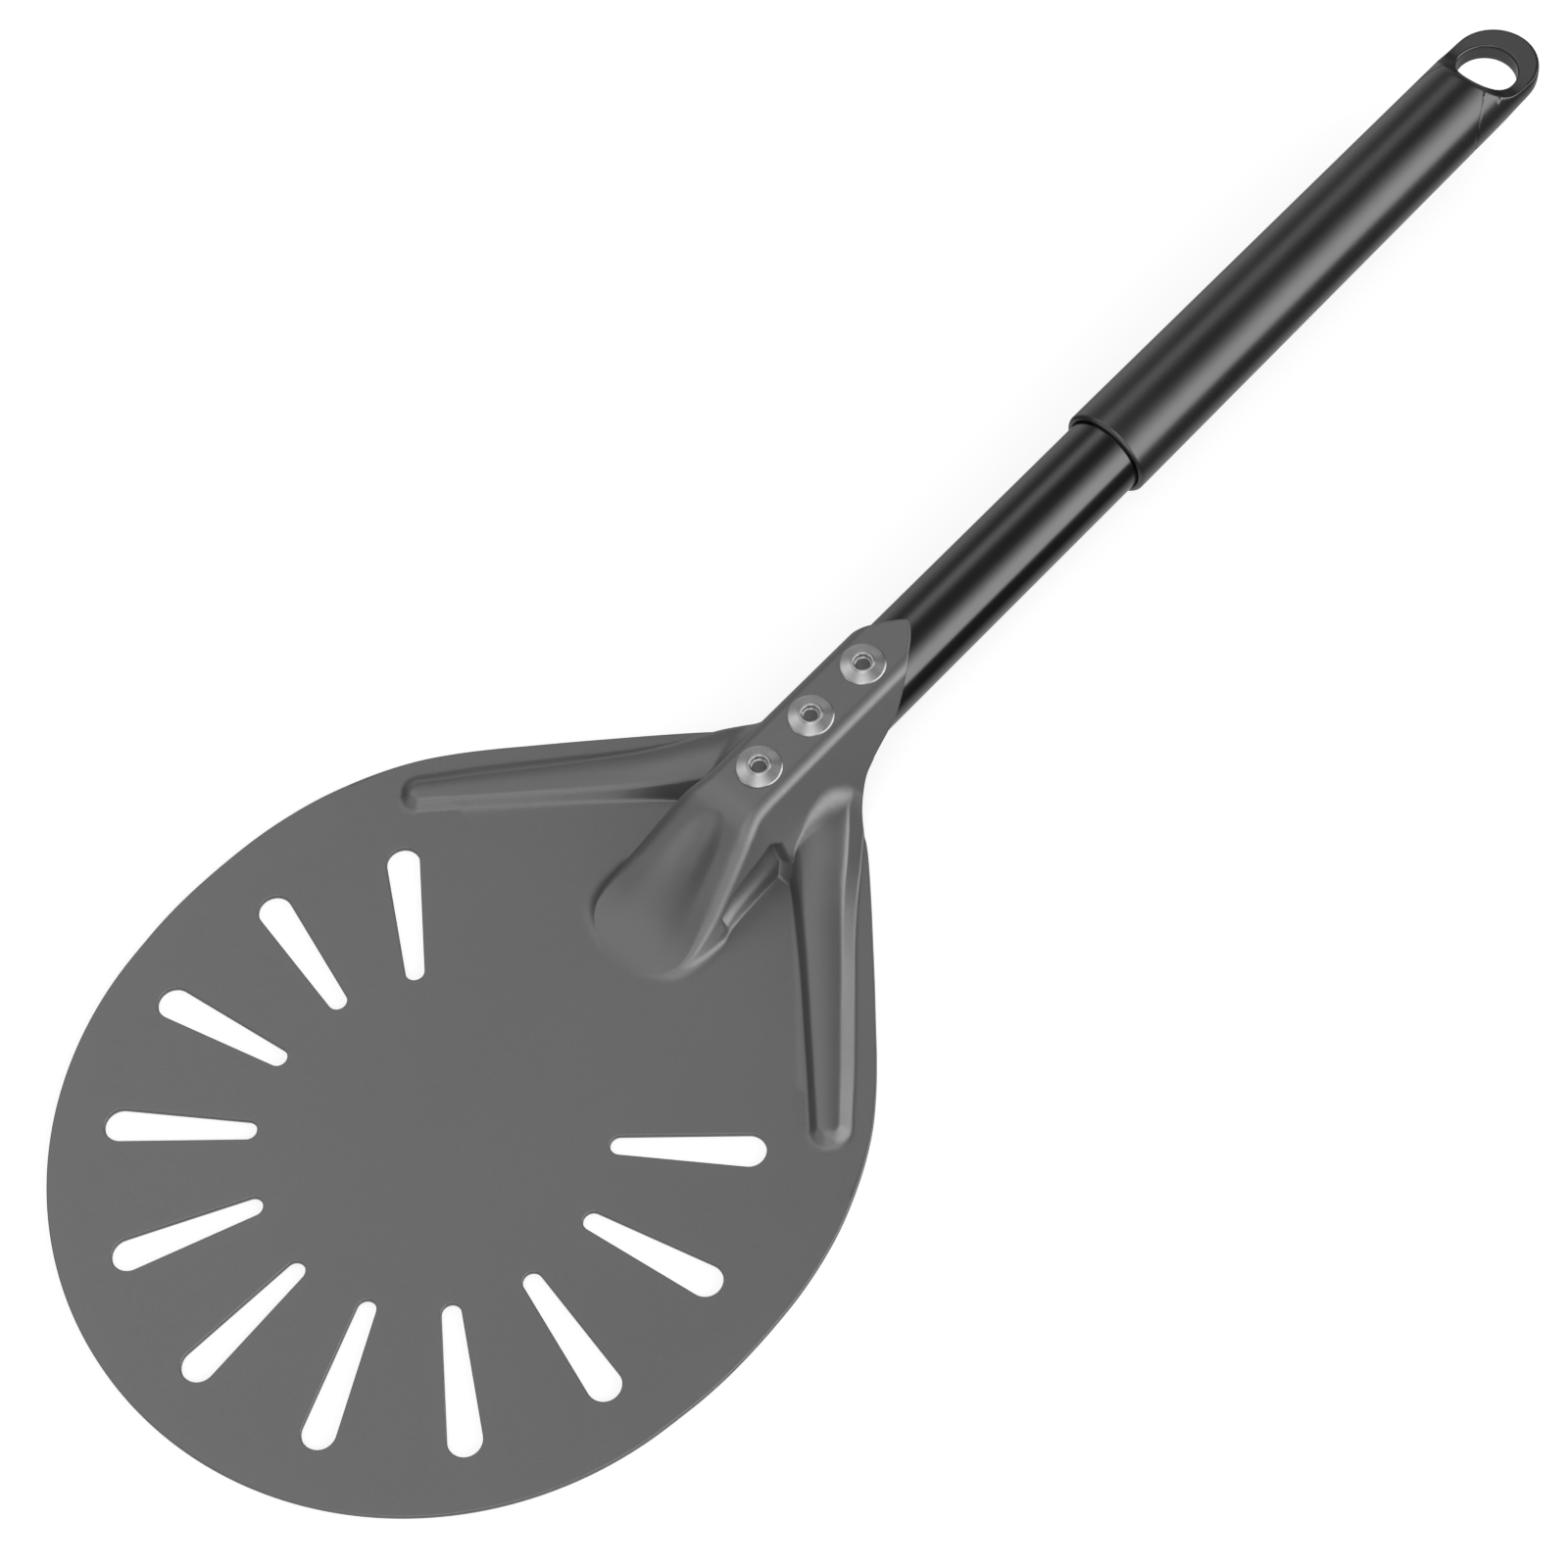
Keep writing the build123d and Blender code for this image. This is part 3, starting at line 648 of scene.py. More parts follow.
def build_blade():
    surface = Surface()
    sweep_sections(surface)
    fill_plate(surface)
    bm = top_bmesh(surface)
    top = np.array([v.co for v in bm.verts])
    normals = eased_normals(bm, top)
    rim_edges, inward = rim_of(bm)
    top_faces = [[v.index for v in f.verts] for f in bm.faces]
    bm.free()

    # the underside follows the top at the sheet's thickness
    count = len(top)
    verts = [tuple(p) for p in top] + [tuple(p - SHEET * n) for p, n in zip(top, normals)]
    faces = top_faces + [[i + count for i in f[::-1]] for f in top_faces]
    # a rounded rim joins them
    bevel = RIM_R * (1 - math.cos(math.pi / 4))
    rim = {}
    for i in sorted({i for pair in rim_edges for i in pair}):
        point, normal, into = top[i], normals[i], inward[i]
        verts[i] = tuple(point + RIM_R * into)
        verts[i + count] = tuple(point - SHEET * normal + RIM_R * into)
        rim[i] = [i]
        for inset, down in ((bevel, bevel), (0, RIM_R), (0, SHEET - RIM_R),
                            (bevel, SHEET - bevel)):
            rim[i].append(len(verts))
            verts.append(tuple(point + inset * into - down * normal))
        rim[i].append(i + count)
    for start, end in rim_edges:
        here, after = rim[start], rim[end]
        for k in range(5):
            faces.append([after[k], here[k], here[k + 1], after[k + 1]])
    verts = np.array(verts)
    verts[:, 2] += SHEET
    verts[:, 2] = np.maximum(verts[:, 2], 0.0)
    blade = new_mesh("blade_pressed", verts * MM, faces)
    smooth = []
    for face in faces:
        x, z = verts[face, 0], verts[face, 2]
        smooth.append(not (len(face) < 5 and (x < SEAM_X + 0.01).all()
                           and ((np.abs(z - SHEET) < 1e-4).all() or (z < 1e-4).all())))
    # validation may drop a face, and the list would then no longer match
    if len(smooth) == len(blade.data.polygons):
        blade.data.polygons.foreach_set("use_smooth", smooth)
    return blade


# ------------------------------------------------------------------ rivets
RIVET_X = {"front": 138.5, "middle": 160.6, "rear": 183.2}
# closed profile (radius, height above the neck's roof): bore, raised ring, domed flange, shank
RIVET_PROFILE = [(1.95, -11.2), (1.95, 0.15), (2.45, 0.2)]
for knots, steps in (
        ([(2.56, 0.3), (2.6, 0.6), (2.6, 1.2), (2.66, 1.55), (2.82, 1.8), (3.05, 1.9), (3.3, 1.86),
          (3.5, 1.74)], 4),
        ([(3.8, 1.62), (4.8, 1.32), (5.8, 1.0), (6.5, 0.76)], 4),
        ([(6.82, 0.6), (6.98, 0.4), (6.98, 0.2), (6.8, 0.03)], 3)):
    RIVET_PROFILE += [tuple(p) for p in catmull(knots, steps)]
RIVET_PROFILE += [(3.2, 0.03), (3.2, -3.4), (4.5, -4.6), (4.75, -5.8), (4.4, -7.4), (3.4, -8.6),
                  (3.2, -10.9), (3.0, -11.2)]


def build_rivet(name, x):
    seat = axis_z(x) + NECK * math.hypot(1, TUBE_SLOPE)
    return lathe("rivet_" + name + "_set", RIVET_PROFILE, 96, (x, 0, seat),
                 (-AXIS_DZ, 0, AXIS_DX))


# ------------------------------------------------------------------ grip
GRIP_X0, GRIP_X1 = 292.5, 501.4
GRIP_D0, GRIP_D1 = 30.1, 28.9      # diameters at those ends
GRIP_LIP = 1.3
BORE_R, BORE_END = TUBE_OD / 2 + 0.02, 462.4
EYE_X, EYE_R, EYE_ROUND = 483.0, 10.0, 0.7
SCOOP_X = 467.5
GRIP_SEAM = 458.0                  # spokes from the eye end here, and rings take over
# half height where the grip thins to the flat round the eye: (x, height off the axis)
SCOOP = [(SCOOP_X + dx, height) for dx, height in (
    (-6, 30.0), (-3, 20.6), (-0.2, 15.4), (2.0, 12.2), (4.5, 9.2), (7.5, 6.6), (10.5, 4.75),
    (14.0, 3.65), (18.0, 3.27), (22.0, 3.2), (50, 3.2))]
LIMIT_POWER = 16.0                 # sharpness of the blend between limiting surfaces
TIP_EDGE_R, TIP_EDGE_POWER = 1.1, 3.2
SEAM_STEPS, SPOKE_POINTS, EYE_WALL_ROWS = 72, 46, 5


def grip_radius(x):
    return 0.5 * (GRIP_D0 + (GRIP_D1 - GRIP_D0) * (x - GRIP_X0) / (GRIP_X1 - GRIP_X0))


TIP_R = grip_radius(GRIP_X1)
TIP_X = GRIP_X1 - TIP_R            # centre of the rounded end


def beside_axis(x, y, height):
    """point at station x on the handle axis, y across, height off it"""
    return Vector((x - AXIS_DZ * height, y, axis_z(x) + AXIS_DX * height)) * MM


def eye_height(x, y):
    """half height round the eye: soft minimum of the scoop, the round grip and the end's edge"""
    radius = grip_radius(x)
    limits = [float(curve(SCOOP, x)), max(math.sqrt(max(radius * radius - y * y, 0.0)), 1e-4)]
    if x > TIP_X - 6:
        inset = TIP_R - math.hypot(x - TIP_X, y) if x > TIP_X else radius - abs(y)
        share = max(inset, 0.0) / TIP_EDGE_R
        edge = 30.0
        if share < 1:
            edge = (3.3 * max(1 - (1 - share)**TIP_EDGE_POWER, 1e-9)**(1 / TIP_EDGE_POWER)
                    + max(0, 26 * (share - 0.86) / 0.14))
        fade = smoothstep(TIP_X - 6, TIP_X, x)
        limits.append(edge * fade + 40 * (1 - fade))
    return sum(limit**-LIMIT_POWER for limit in limits)**(-1 / LIMIT_POWER)


def spoke_reach(length, share, at_seam):
    """distance from the eye's centre, closely spaced at its rim and at the outer edge"""
    span = length - EYE_R
    if at_seam:
        return EYE_R + span * (share**1.35)
    if span < 9:
        return EYE_R + span * (0.5 - 0.5 * math.cos(math.pi * share))
    return EYE_R + span * (1 - (1 - share**1.15)**1.8)


def spoke_targets(seam_angles):
    """outer ends of the spokes (x, y, seam angle or None), from +Y at the seam round the end"""
    seam_r = grip_radius(GRIP_SEAM)
    sides = GRIP_SEAM + (TIP_X - GRIP_SEAM) * np.linspace(0, 1, 22)[1:]
    targets = [(GRIP_SEAM, seam_r * math.cos(angle), angle) for angle in seam_angles]
    targets += [(x, -grip_radius(x), None) for x in sides]
    targets += [(TIP_X + TIP_R * math.sin(t), -TIP_R * math.cos(t), None)
                for t in np.linspace(0, math.pi, 60)[1:-1]]
    return targets + [(x, grip_radius(x), None) for x in sides[::-1]]


def build_grip():
    verts, faces = [], []

    def add_vert(x, y, height):
        verts.append(beside_axis(x, y, height))
        return len(verts) - 1

    def add_face(ids):
        clean = list(dict.fromkeys(ids))
        if len(clean) > 2:
            faces.append(clean)

    # spokes over and under, from the eye's rim outward
    seam_angles = np.linspace(0, math.pi, SEAM_STEPS + 1)
    top, bottom = [], []
    for end_x, end_y, angle in spoke_targets(seam_angles):
        way = np.array([end_x - EYE_X, end_y])
        length = np.hypot(*way)
        way = way / length
        top.append([])
        bottom.append([])
        for k in range(SPOKE_POINTS):
            reach = spoke_reach(length, k / (SPOKE_POINTS - 1), angle is not None)
            x, y = EYE_X + way[0] * reach, way[1] * reach
            if k < SPOKE_POINTS - 1:
                z = eye_height(x, y)
            elif angle is not None:
                x, y, z = end_x, end_y, grip_radius(GRIP_SEAM) * math.sin(angle)
            else:
                z = 0.0
            rim = reach - EYE_R
            if rim < EYE_ROUND:
                z -= EYE_ROUND - math.sqrt(max(EYE_ROUND**2 - (EYE_ROUND - rim)**2, 0.0))
            top[-1].append(add_vert(x, y, z))
            bottom[-1].append(top[-1][-1] if z <= 1e-6 else add_vert(x, y, -z))
    count = len(top)
    for i in range(count):
        j = (i + 1) % count
        for k in range(SPOKE_POINTS - 1):
            add_face([top[i][k], top[j][k], top[j][k + 1], top[i][k + 1]])
            add_face([bottom[i][k], bottom[i][k + 1], bottom[j][k + 1], bottom[j][k]])

    # wall of the eye, a few rows so the light runs smoothly round it
    walls = []
    for over, under in zip(top, bottom):
        wall = [over[0]]
        for k in range(1, EYE_WALL_ROWS):
            verts.append(verts[over[0]].lerp(verts[under[0]], k / EYE_WALL_ROWS))
            wall.append(len(verts) - 1)
        walls.append(wall + [under[0]])
    for i in range(count):
        here, after = walls[i], walls[(i + 1) % count]
        for k in range(EYE_WALL_ROWS):
            add_face([here[k], here[k + 1], after[k + 1], after[k]])

    # rings towards -X from the seam, over the lip and back down the bore
    ring = [top[i][-1] for i in range(SEAM_STEPS + 1)]
    ring += [bottom[i][-1] for i in range(SEAM_STEPS - 1, 0, -1)]
    angles = list(seam_angles) + [2 * math.pi - a for a in seam_angles[SEAM_STEPS - 1:0:-1]]
    stations = [(x, grip_radius(x)) for x in np.linspace(GRIP_SEAM, GRIP_X0 + GRIP_LIP, 26)[1:]]
    stations += [(GRIP_X0 + GRIP_LIP - GRIP_LIP * math.sin(t),
                  grip_radius(GRIP_X0) - GRIP_LIP + GRIP_LIP * math.cos(t))
                 for t in np.linspace(0, math.pi / 2, 9)[1:]]
    stations += [(GRIP_X0 + 0.05, 13.5), (GRIP_X0 + 0.35, 13.1), (GRIP_X0 + 0.8, BORE_R)]
    stations += [(x, BORE_R) for x in np.linspace(GRIP_X0 + 8, 461.8, 12)]
    stations += [(462.3, 12.5), (BORE_END, 8.0)]
    for x, radius in stations:
        following = [add_vert(x, radius * math.cos(a), radius * math.sin(a)) for a in angles]
        for i in range(len(ring)):
            j = (i + 1) % len(ring)
            add_face([ring[i], ring[j], following[j], following[i]])
        ring = following
    centre = add_vert(BORE_END, 0, 0)
    for i in range(len(ring)):
        add_face([ring[i], ring[(i + 1) % len(ring)], centre])
    grip = new_mesh("grip_moulded", verts, faces)
    merge_and_orient(grip, distance=2e-6)
    return grip


# ------------------------------------------------------------------ handle tube
TUBE_X0, TUBE_X1 = 131.0, 462.0
TUBE_WALL, TUBE_CHAMFER = 1.5, 0.2


def build_tube():
    outer = TUBE_OD / 2
    inner = outer - TUBE_WALL
    low, high = TUBE_X0 + TUBE_CHAMFER, TUBE_X1 - TUBE_CHAMFER
    profile = [(outer - TUBE_CHAMFER, TUBE_X0), (outer, low)]
    profile += [(outer, x) for x in np.linspace(140, 455, 18)]
    profile += [(outer, high), (outer - TUBE_CHAMFER, TUBE_X1), (inner + TUBE_CHAMFER, TUBE_X1),
                (inner, high)]
    profile += [(inner, x) for x in np.linspace(455, 140, 6)]
    profile += [(inner, low), (inner + TUBE_CHAMFER, TUBE_X0)]
    return lathe("handle_tube_drawn", [(r, (x - AXIS_X) / AXIS_DX) for r, x in profile], 128,
                 (AXIS_X, 0, AXIS_Z), (AXIS_DX, 0, AXIS_DZ))


# ------------------------------------------------------------------ node helpers
class Graph:
    """short hand for a node tree"""

    def __init__(self, tree):
        self.tree = tree

    def node(self, kind, **settings):
        node = self.tree.nodes.new(kind)
        for key, value in settings.items():
            setattr(node, key, value)
        return node

    def link(self, source, target):
        self.tree.links.new(source, target)

    def feed(self, target, value):
        """link a socket, or set a plain value"""
        if isinstance(value, bpy.types.NodeSocket):
            self.link(value, target)
        else:
            target.default_value = value

    def math(self, operation, first, second):
        node = self.node("ShaderNodeMath", operation=operation)
        self.feed(node.inputs[0], first)
        self.feed(node.inputs[1], second)
        return node.outputs[0]

    def map_range(self, value, start, end, first, last, **settings):
        """value from start to end becomes first to last"""
        node = self.node("ShaderNodeMapRange", **settings)
        for key, number in (("From Min", start), ("From Max", end), ("To Min", first),
                            ("To Max", last)):
            node.inputs[key].default_value = number
        self.link(value, node.inputs["Value"])
        return node.outputs[0]


class Material(Graph):
    """a principled material"""

    def __init__(self, name):
        self.mat = bpy.data.materials.new(name)
        self.mat.use_nodes = True
        super().__init__(self.mat.node_tree)
        self.tree.nodes.clear()
        self.out = self.node("ShaderNodeOutputMaterial")
        self.bsdf = self.node("ShaderNodeBsdfPrincipled")
        self.link(self.bsdf.outputs[0], self.out.inputs[0])
        self.coord = self.node("ShaderNodeTexCoord")

    def set(self, **values):
        """feed the shader's inputs; underscores stand for spaces"""
        for key, value in values.items():
            self.feed(self.bsdf.inputs[key.replace("_", " ")], value)

    def mapping(self, scale=(1, 1, 1)):
        node = self.node("ShaderNodeMapping")
        node.inputs["Scale"].default_value = scale
        self.link(self.coord.outputs["Object"], node.inputs["Vector"])
        return node.outputs[0]

    def noise(self, vector, scale, detail=3.0, rough=0.55):
        node = self.node("ShaderNodeTexNoise")
        node.inputs["Scale"].default_value = scale
        node.inputs["Detail"].default_value = detail
        node.inputs["Roughness"].default_value = rough
        self.link(vector, node.inputs["Vector"])
        return node.outputs["Fac"]

    def remap(self, value, first, last, start=0.3, end=0.7):
        return self.map_range(value, start, end, first, last)

    def ramp(self, value, first, last, ends=(0.3, 0.7)):
        """colour ramp between two colours"""
        node = self.node("ShaderNodeValToRGB")
        for element, position, color in zip(node.color_ramp.elements, ends, (first, last)):
            element.position = position
            element.color = (*color, 1)
        self.link(value, node.inputs[0])
        return node.outputs[0]

    def mix(self, factor, first, second, blend="MIX"):
        node = self.node("ShaderNodeMix", data_type="RGBA", blend_type=blend)
        for i, value in ((0, factor), (6, first), (7, second)):
            self.feed(node.inputs[i], (*value, 1) if isinstance(value, tuple) else value)
        return node.outputs[2]

    def bump(self, height, strength, distance, normal=None):
        node = self.node("ShaderNodeBump")
        node.inputs["Strength"].default_value = strength
        node.inputs["Distance"].default_value = distance
        self.link(height, node.inputs["Height"])
        if normal is not None:
            self.link(normal, node.inputs["Normal"])
        return node.outputs[0]

    def edge(self, start, end):
        """mask that rises on convex edges"""
        geo = self.node("ShaderNodeNewGeometry")
        return self.remap(geo.outputs["Pointiness"], first=0.0, last=1.0, start=start, end=end)


# ------------------------------------------------------------------ materials
def blade_material():
    m = Material("hard_anodised_sheet")
    vector = m.mapping()
    fine = m.noise(vector, scale=5200.0, detail=2.0, rough=0.6)   # grain of about 0.2 mm
    medium = m.noise(vector, scale=700.0, detail=4.0)
    broad = m.noise(vector, scale=16.0, rough=0.5)
    color = m.ramp(broad, first=(0.288, 0.289, 0.291), last=(0.304, 0.305, 0.307))
    grain = m.ramp(fine, first=(0.90, 0.90, 0.90), last=(1.08, 1.08, 1.08), ends=(0.25, 0.75))
    color = m.mix(1.0, color, grain, blend="MULTIPLY")
    # painted highlight: the base colour is lighter along the sheet's edges and folds, patchy in
    # strength
    edge_highlight = m.math("MULTIPLY", m.edge(start=0.515, end=0.60),
                 m.remap(medium, first=0.15, last=0.55, start=0.35, end=0.65))
    rough = m.math("ADD", m.remap(broad, first=0.41, last=0.44),
                   m.remap(medium, first=-0.025, last=0.025))
    bump = m.bump(fine, strength=0.16, distance=0.00004)
    # base colour mixed towards a lighter grey where the painted edge highlight is
    m.set(Base_Color=m.mix(edge_highlight, color, (0.40, 0.40, 0.402)), Metallic=0.86, Roughness=rough,
          Normal=m.bump(medium, strength=0.05, distance=0.0001, normal=bump))
    return m.mat


def tube_material():
    m = Material("black_anodised_tube")
    vector = m.mapping()
    # drawing lines along the tube
    lines = m.noise(m.mapping(scale=(6, 900, 900)), scale=1.0, detail=4.0, rough=0.6)
    fine = m.noise(vector, scale=4200.0, detail=2.0, rough=0.6)
    broad = m.noise(vector, scale=22.0, rough=0.5)
    color = m.ramp(broad, first=(0.140, 0.140, 0.142), last=(0.155, 0.155, 0.157))
    # painted highlight: the base colour is lighter grey on the tube's convex edges
    edge_highlight = m.math("MULTIPLY", m.edge(start=0.52, end=0.62), 0.5)
    rough = m.math("ADD", m.remap(lines, first=0.15, last=0.20),
                   m.remap(broad, first=-0.015, last=0.015))
    bump = m.bump(lines, strength=0.05, distance=0.00004)
    m.set(Base_Color=m.mix(edge_highlight, color, (0.20, 0.20, 0.202)), Metallic=1.0, Roughness=rough,
          Normal=m.bump(fine, strength=0.05, distance=0.00003, normal=bump))
    return m.mat


def grip_material():
    m = Material("moulded_grip")
    vector = m.mapping()
    cells = m.node("ShaderNodeTexVoronoi", feature="SMOOTH_F1")
    cells.inputs["Scale"].default_value = 2600.0      # mould grain of about 0.4 mm
    m.link(vector, cells.inputs["Vector"])
    fine = m.noise(vector, scale=5200.0, rough=0.6)
    broad = m.noise(vector, scale=28.0, rough=0.5)
    color = m.ramp(broad, first=(0.145, 0.145, 0.146), last=(0.160, 0.160, 0.161))
    # painted highlight: the base colour is lighter grey on the grip's convex edges
    edge_highlight = m.math("MULTIPLY", m.edge(start=0.52, end=0.64), 0.6)
    rough = m.math("ADD", m.remap(broad, first=0.25, last=0.29),
                   m.remap(fine, first=-0.02, last=0.02))
    bump = m.bump(cells.outputs["Distance"], strength=0.10, distance=0.00005)
    m.set(Base_Color=m.mix(edge_highlight, color, (0.19, 0.19, 0.19)), Metallic=0.97, Roughness=rough,
          Normal=m.bump(fine, strength=0.06, distance=0.00003, normal=bump))
    return m.mat


def rivet_material():
    m = Material("bright_rivet")
    fine = m.noise(m.mapping(), scale=2600.0, rough=0.6)
    # turned rings about the middle of the rivet's generated box
    place = m.node("ShaderNodeSeparateXYZ")
    m.link(m.coord.outputs["Generated"], place.inputs[0])
    dx, dy = [m.math("SUBTRACT", place.outputs[i], 0.5) for i in (0, 1)]
    squares = m.math("ADD", m.math("MULTIPLY", dx, dx), m.math("MULTIPLY", dy, dy))
    rings = m.node("ShaderNodeTexNoise", noise_dimensions="1D")
    rings.inputs["Scale"].default_value = 150.0
    rings.inputs["Detail"].default_value = 3.0
    m.link(m.math("SQRT", squares, 0), rings.inputs["W"])
    ring = rings.outputs["Fac"]
    rough = m.math("ADD", m.remap(ring, first=0.25, last=0.31),
                   m.remap(fine, first=-0.012, last=0.012))
    tangent = m.node("ShaderNodeTangent", direction_type="RADIAL", axis="Z")
    bump = m.bump(ring, strength=0.05, distance=0.00003)
    m.set(Base_Color=m.ramp(fine, first=(0.70, 0.70, 0.71), last=(0.80, 0.80, 0.81)),
          Metallic=1.0, Roughness=rough, Anisotropic=0.88, Anisotropic_Rotation=0.25,
          Tangent=tangent.outputs[0],
          Normal=m.bump(fine, strength=0.02, distance=0.00002, normal=bump))
    return m.mat


def mandrel_material():
    m = Material("broken_steel_stem")
    fine = m.noise(m.mapping(), scale=3000.0, detail=4.0, rough=0.65)
    m.set(Base_Color=m.ramp(fine, first=(0.16, 0.16, 0.165), last=(0.26, 0.26, 0.265)),
          Metallic=0.9, Roughness=m.remap(fine, first=0.42, last=0.58),
          Normal=m.bump(fine, strength=0.5, distance=0.00008))
    return m.mat


# ------------------------------------------------------------------ studio
# glows: direction, power (higher is smaller), strength, squash (below 1 stretches that way)
LOBES = [
    ((0.33, 0.43, 0.84), 30.0, 0.60, (0.35, 1, 1)),     # narrow strip overhead
    ((-0.30, -0.20, 0.93), 14.0, 1.20, (1, 1, 1)),      # high light over the blade
    ((-0.88, 0.40, 0.26), 22.0, 0.90, (1, 1, 1)),       # fill from beyond the blade
    ((-0.15, 0.68, 0.72), 25.0, 0.75, (1, 1, 1)),       # small light on the +Y side
    ((0.60, 0.78, -0.12), 10.0, 0.38, (1, 1, 1)),       # low lights on the +Y side
    ((0.30, 0.95, -0.10), 6.0, 0.18, (1, 1, 1)),
    ((0.95, -0.30, -0.10), 12.0, 0.25, (1, 1, 1)),      # low light at the grip's end
    ((-0.85, -0.45, 0.28), 14.0, 0.90, (1, 1, 1))]      # low light beside the blade
BOX_STRENGTH, BASE_STRENGTH, BELOW_STRENGTH = 1.75, 0.05, 0.45


class Glow(Graph):
    """studio light as a function of direction, built in any node tree"""

    def __init__(self, tree):
        super().__init__(tree)
        geo = self.node("ShaderNodeNewGeometry")
        flip = self.node("ShaderNodeVectorMath", operation="SCALE")
        flip.inputs["Scale"].default_value = -1.0
        self.link(geo.outputs["Incoming"], flip.inputs[0])
        self.direction = flip.outputs[0]
        parts = self.node("ShaderNodeSeparateXYZ")
        self.link(self.direction, parts.inputs[0])
        self.x, self.y, self.z = parts.outputs

    def ease(self, value, start, end, first, last):
        return self.map_range(value, start, end, first, last, interpolation_type="SMOOTHSTEP")

    def lobe(self, direction, power, strength, squash):
        """soft glow round a direction"""
        aim = np.array(Vector(direction).normalized()) * np.array(squash, float)
        scale = self.node("ShaderNodeVectorMath", operation="MULTIPLY")
        scale.inputs[1].default_value = squash
        self.link(self.direction, scale.inputs[0])
        unit = self.node("ShaderNodeVectorMath", operation="NORMALIZE")
        self.link(scale.outputs[0], unit.inputs[0])
        dot = self.node("ShaderNodeVectorMath", operation="DOT_PRODUCT")
        dot.inputs[1].default_value = Vector(aim).normalized()
        self.link(unit.outputs[0], dot.inputs[0])
        facing = self.math("MAXIMUM", dot.outputs["Value"], 0.0)
        return self.math("MULTIPLY", self.math("POWER", facing, power), strength)

    def total(self):
        # long soft box on the -Y side with a clean lower edge
        box = self.math("MULTIPLY", self.ease(self.z, start=-0.03, end=0.08, first=0.0, last=1.0),
                        self.ease(self.z, start=0.38, end=0.92, first=1.0, last=0.0))
        box = self.math("MULTIPLY", box,
                        self.ease(self.y, start=-0.50, end=-0.06, first=1.0, last=0.0))
        box = self.math("MULTIPLY", box,
                        self.ease(self.x, start=-0.55, end=0.0, first=0.12, last=1.0))
        out = self.math("ADD", self.math("MULTIPLY", box, BOX_STRENGTH), BASE_STRENGTH)
        below = self.ease(self.z, start=-0.88, end=-0.5, first=1.0, last=0.0)
        out = self.math("ADD", out, self.math("MULTIPLY", below, BELOW_STRENGTH))
        for lobe in LOBES:
            out = self.math("ADD", out, self.lobe(*lobe))
        return out


def build_floor():
    """pale floor; glossy rays see the studio in its place"""
    mesh = bpy.data.meshes.new("floor")
    bm = bmesh.new()
    bmesh.ops.create_grid(bm, x_segments=8, y_segments=8, size=6.0)
    for v in bm.verts:
        v.co.z = -0.0004
    bm.to_mesh(mesh)
    bm.free()
    floor = bpy.data.objects.new("floor", mesh)
    bpy.context.scene.collection.objects.link(floor)
    m = Material("pale_floor")
    soft = m.noise(m.mapping(), scale=3.0, detail=2.0, rough=0.5)
    m.set(Base_Color=m.ramp(soft, first=(0.60, 0.60, 0.60), last=(0.61, 0.61, 0.61)),
          Roughness=0.9, Specular_IOR_Level=0.1, Emission_Color=(1, 1, 1, 1),
          Emission_Strength=0.74)
    studio = m.node("ShaderNodeEmission")
    m.link(Glow(m.tree).total(), studio.inputs["Strength"])
    path = m.node("ShaderNodeLightPath")
    mix = m.node("ShaderNodeMixShader")
    m.link(path.outputs["Is Glossy Ray"], mix.inputs[0])
    m.link(m.bsdf.outputs[0], mix.inputs[1])
    m.link(studio.outputs[0], mix.inputs[2])
    m.link(mix.outputs[0], m.out.inputs[0])
    mesh.materials.append(m.mat)


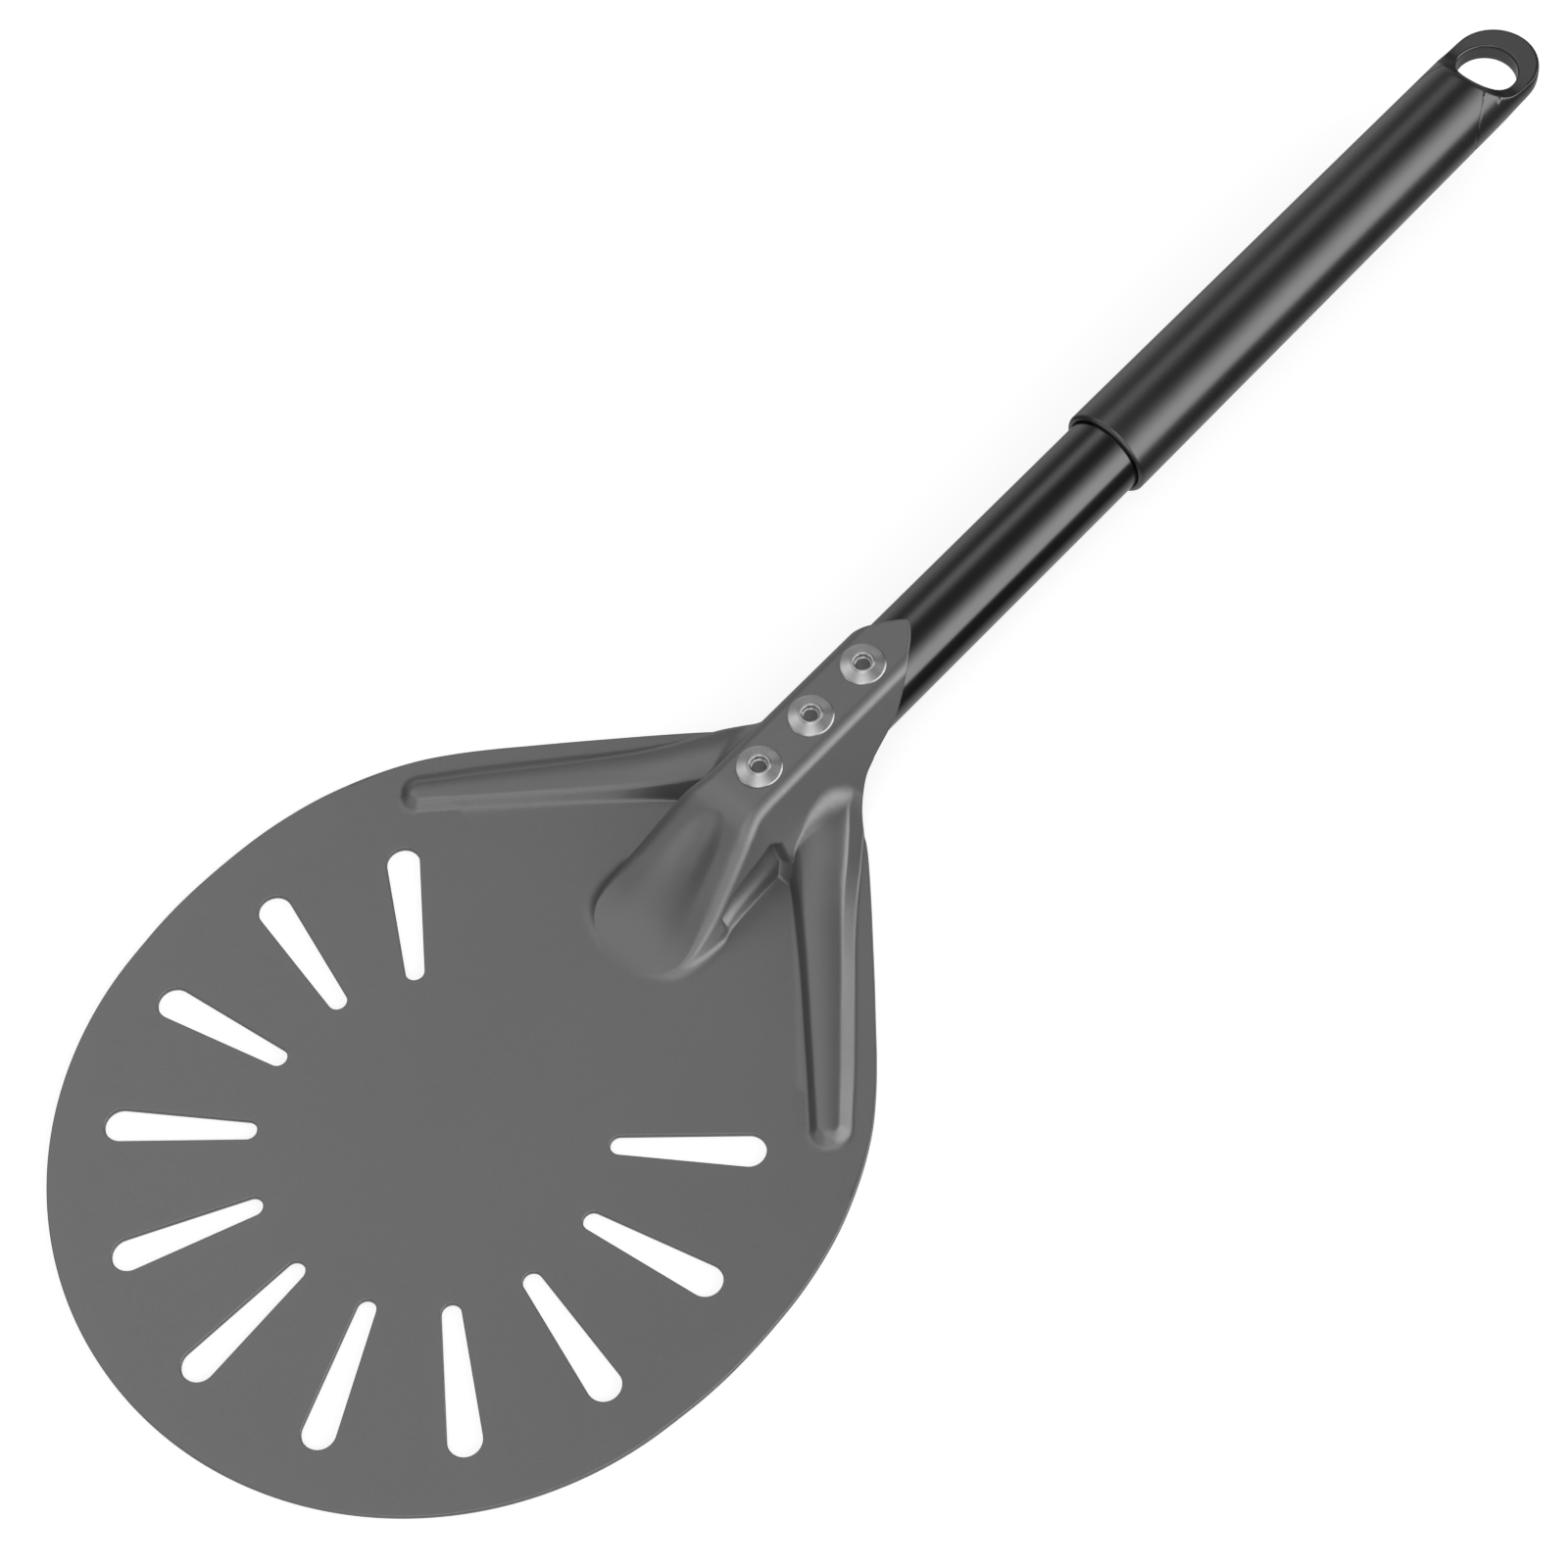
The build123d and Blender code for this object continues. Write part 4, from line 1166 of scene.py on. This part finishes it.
def build_world():
    """the studio's glow, plain near-white to the camera"""
    world = bpy.data.worlds.new("studio")
    bpy.context.scene.world = world
    world.use_nodes = True
    world.node_tree.nodes.clear()
    glow = Glow(world.node_tree)
    out = glow.node("ShaderNodeOutputWorld")
    light = glow.node("ShaderNodeBackground")
    plain = glow.node("ShaderNodeBackground")
    mix = glow.node("ShaderNodeMixShader")
    path = glow.node("ShaderNodeLightPath")
    light.inputs[0].default_value = (1, 1, 1, 1)
    plain.inputs[0].default_value = (0.98, 0.98, 0.98, 1)
    glow.link(path.outputs["Is Camera Ray"], mix.inputs[0])
    glow.link(light.outputs[0], mix.inputs[1])
    glow.link(plain.outputs[0], mix.inputs[2])
    glow.link(mix.outputs[0], out.inputs[0])
    glow.link(glow.total(), light.inputs["Strength"])


def build_camera():
    camera = bpy.data.cameras.new("camera")
    camera.lens = 77.87
    camera.sensor_width = 36.0
    camera.clip_start, camera.clip_end = 0.01, 20.0
    ob = bpy.data.objects.new("camera", camera)
    bpy.context.scene.collection.objects.link(ob)
    right = Vector((0.67842, -0.73134, -0.06989)).normalized()
    back = Vector((-0.32684, -0.38564, 0.86282)).normalized()
    up = back.cross(right).normalized()
    right = up.cross(back).normalized()
    pose = Matrix((right, up, back)).transposed().to_4x4()
    pose.translation = Vector((-0.17996, -0.38569, 0.87099))
    ob.matrix_world = pose
    bpy.context.scene.camera = ob


# ------------------------------------------------------------------ assembly
def dress(ob, material, node):
    """give a piece its material and put it in place of its CAD node"""
    ob.data.materials.clear()
    ob.data.materials.append(material)
    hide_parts(node)
    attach(ob, "root")


blade = build_blade()
rivets = {name: build_rivet(name, x) for name, x in RIVET_X.items()}
grip = build_grip()
tube = build_tube()

blade_mat, tube_mat, grip_mat, rivet_mat, mandrel_mat = [make() for make in (
    blade_material, tube_material, grip_material, rivet_material, mandrel_material)]
dress(blade, blade_mat, "blade")
dress(tube, tube_mat, "handle_tube")
dress(grip, grip_mat, "grip")
for name, rivet in rivets.items():
    dress(rivet, rivet_mat, "rivet_" + name)
for name in RIVET_X:
    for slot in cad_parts["mandrel_" + name].material_slots:
        slot.material = mandrel_mat

build_floor()
build_world()
build_camera()
bpy.context.scene.view_settings.view_transform = "Standard"
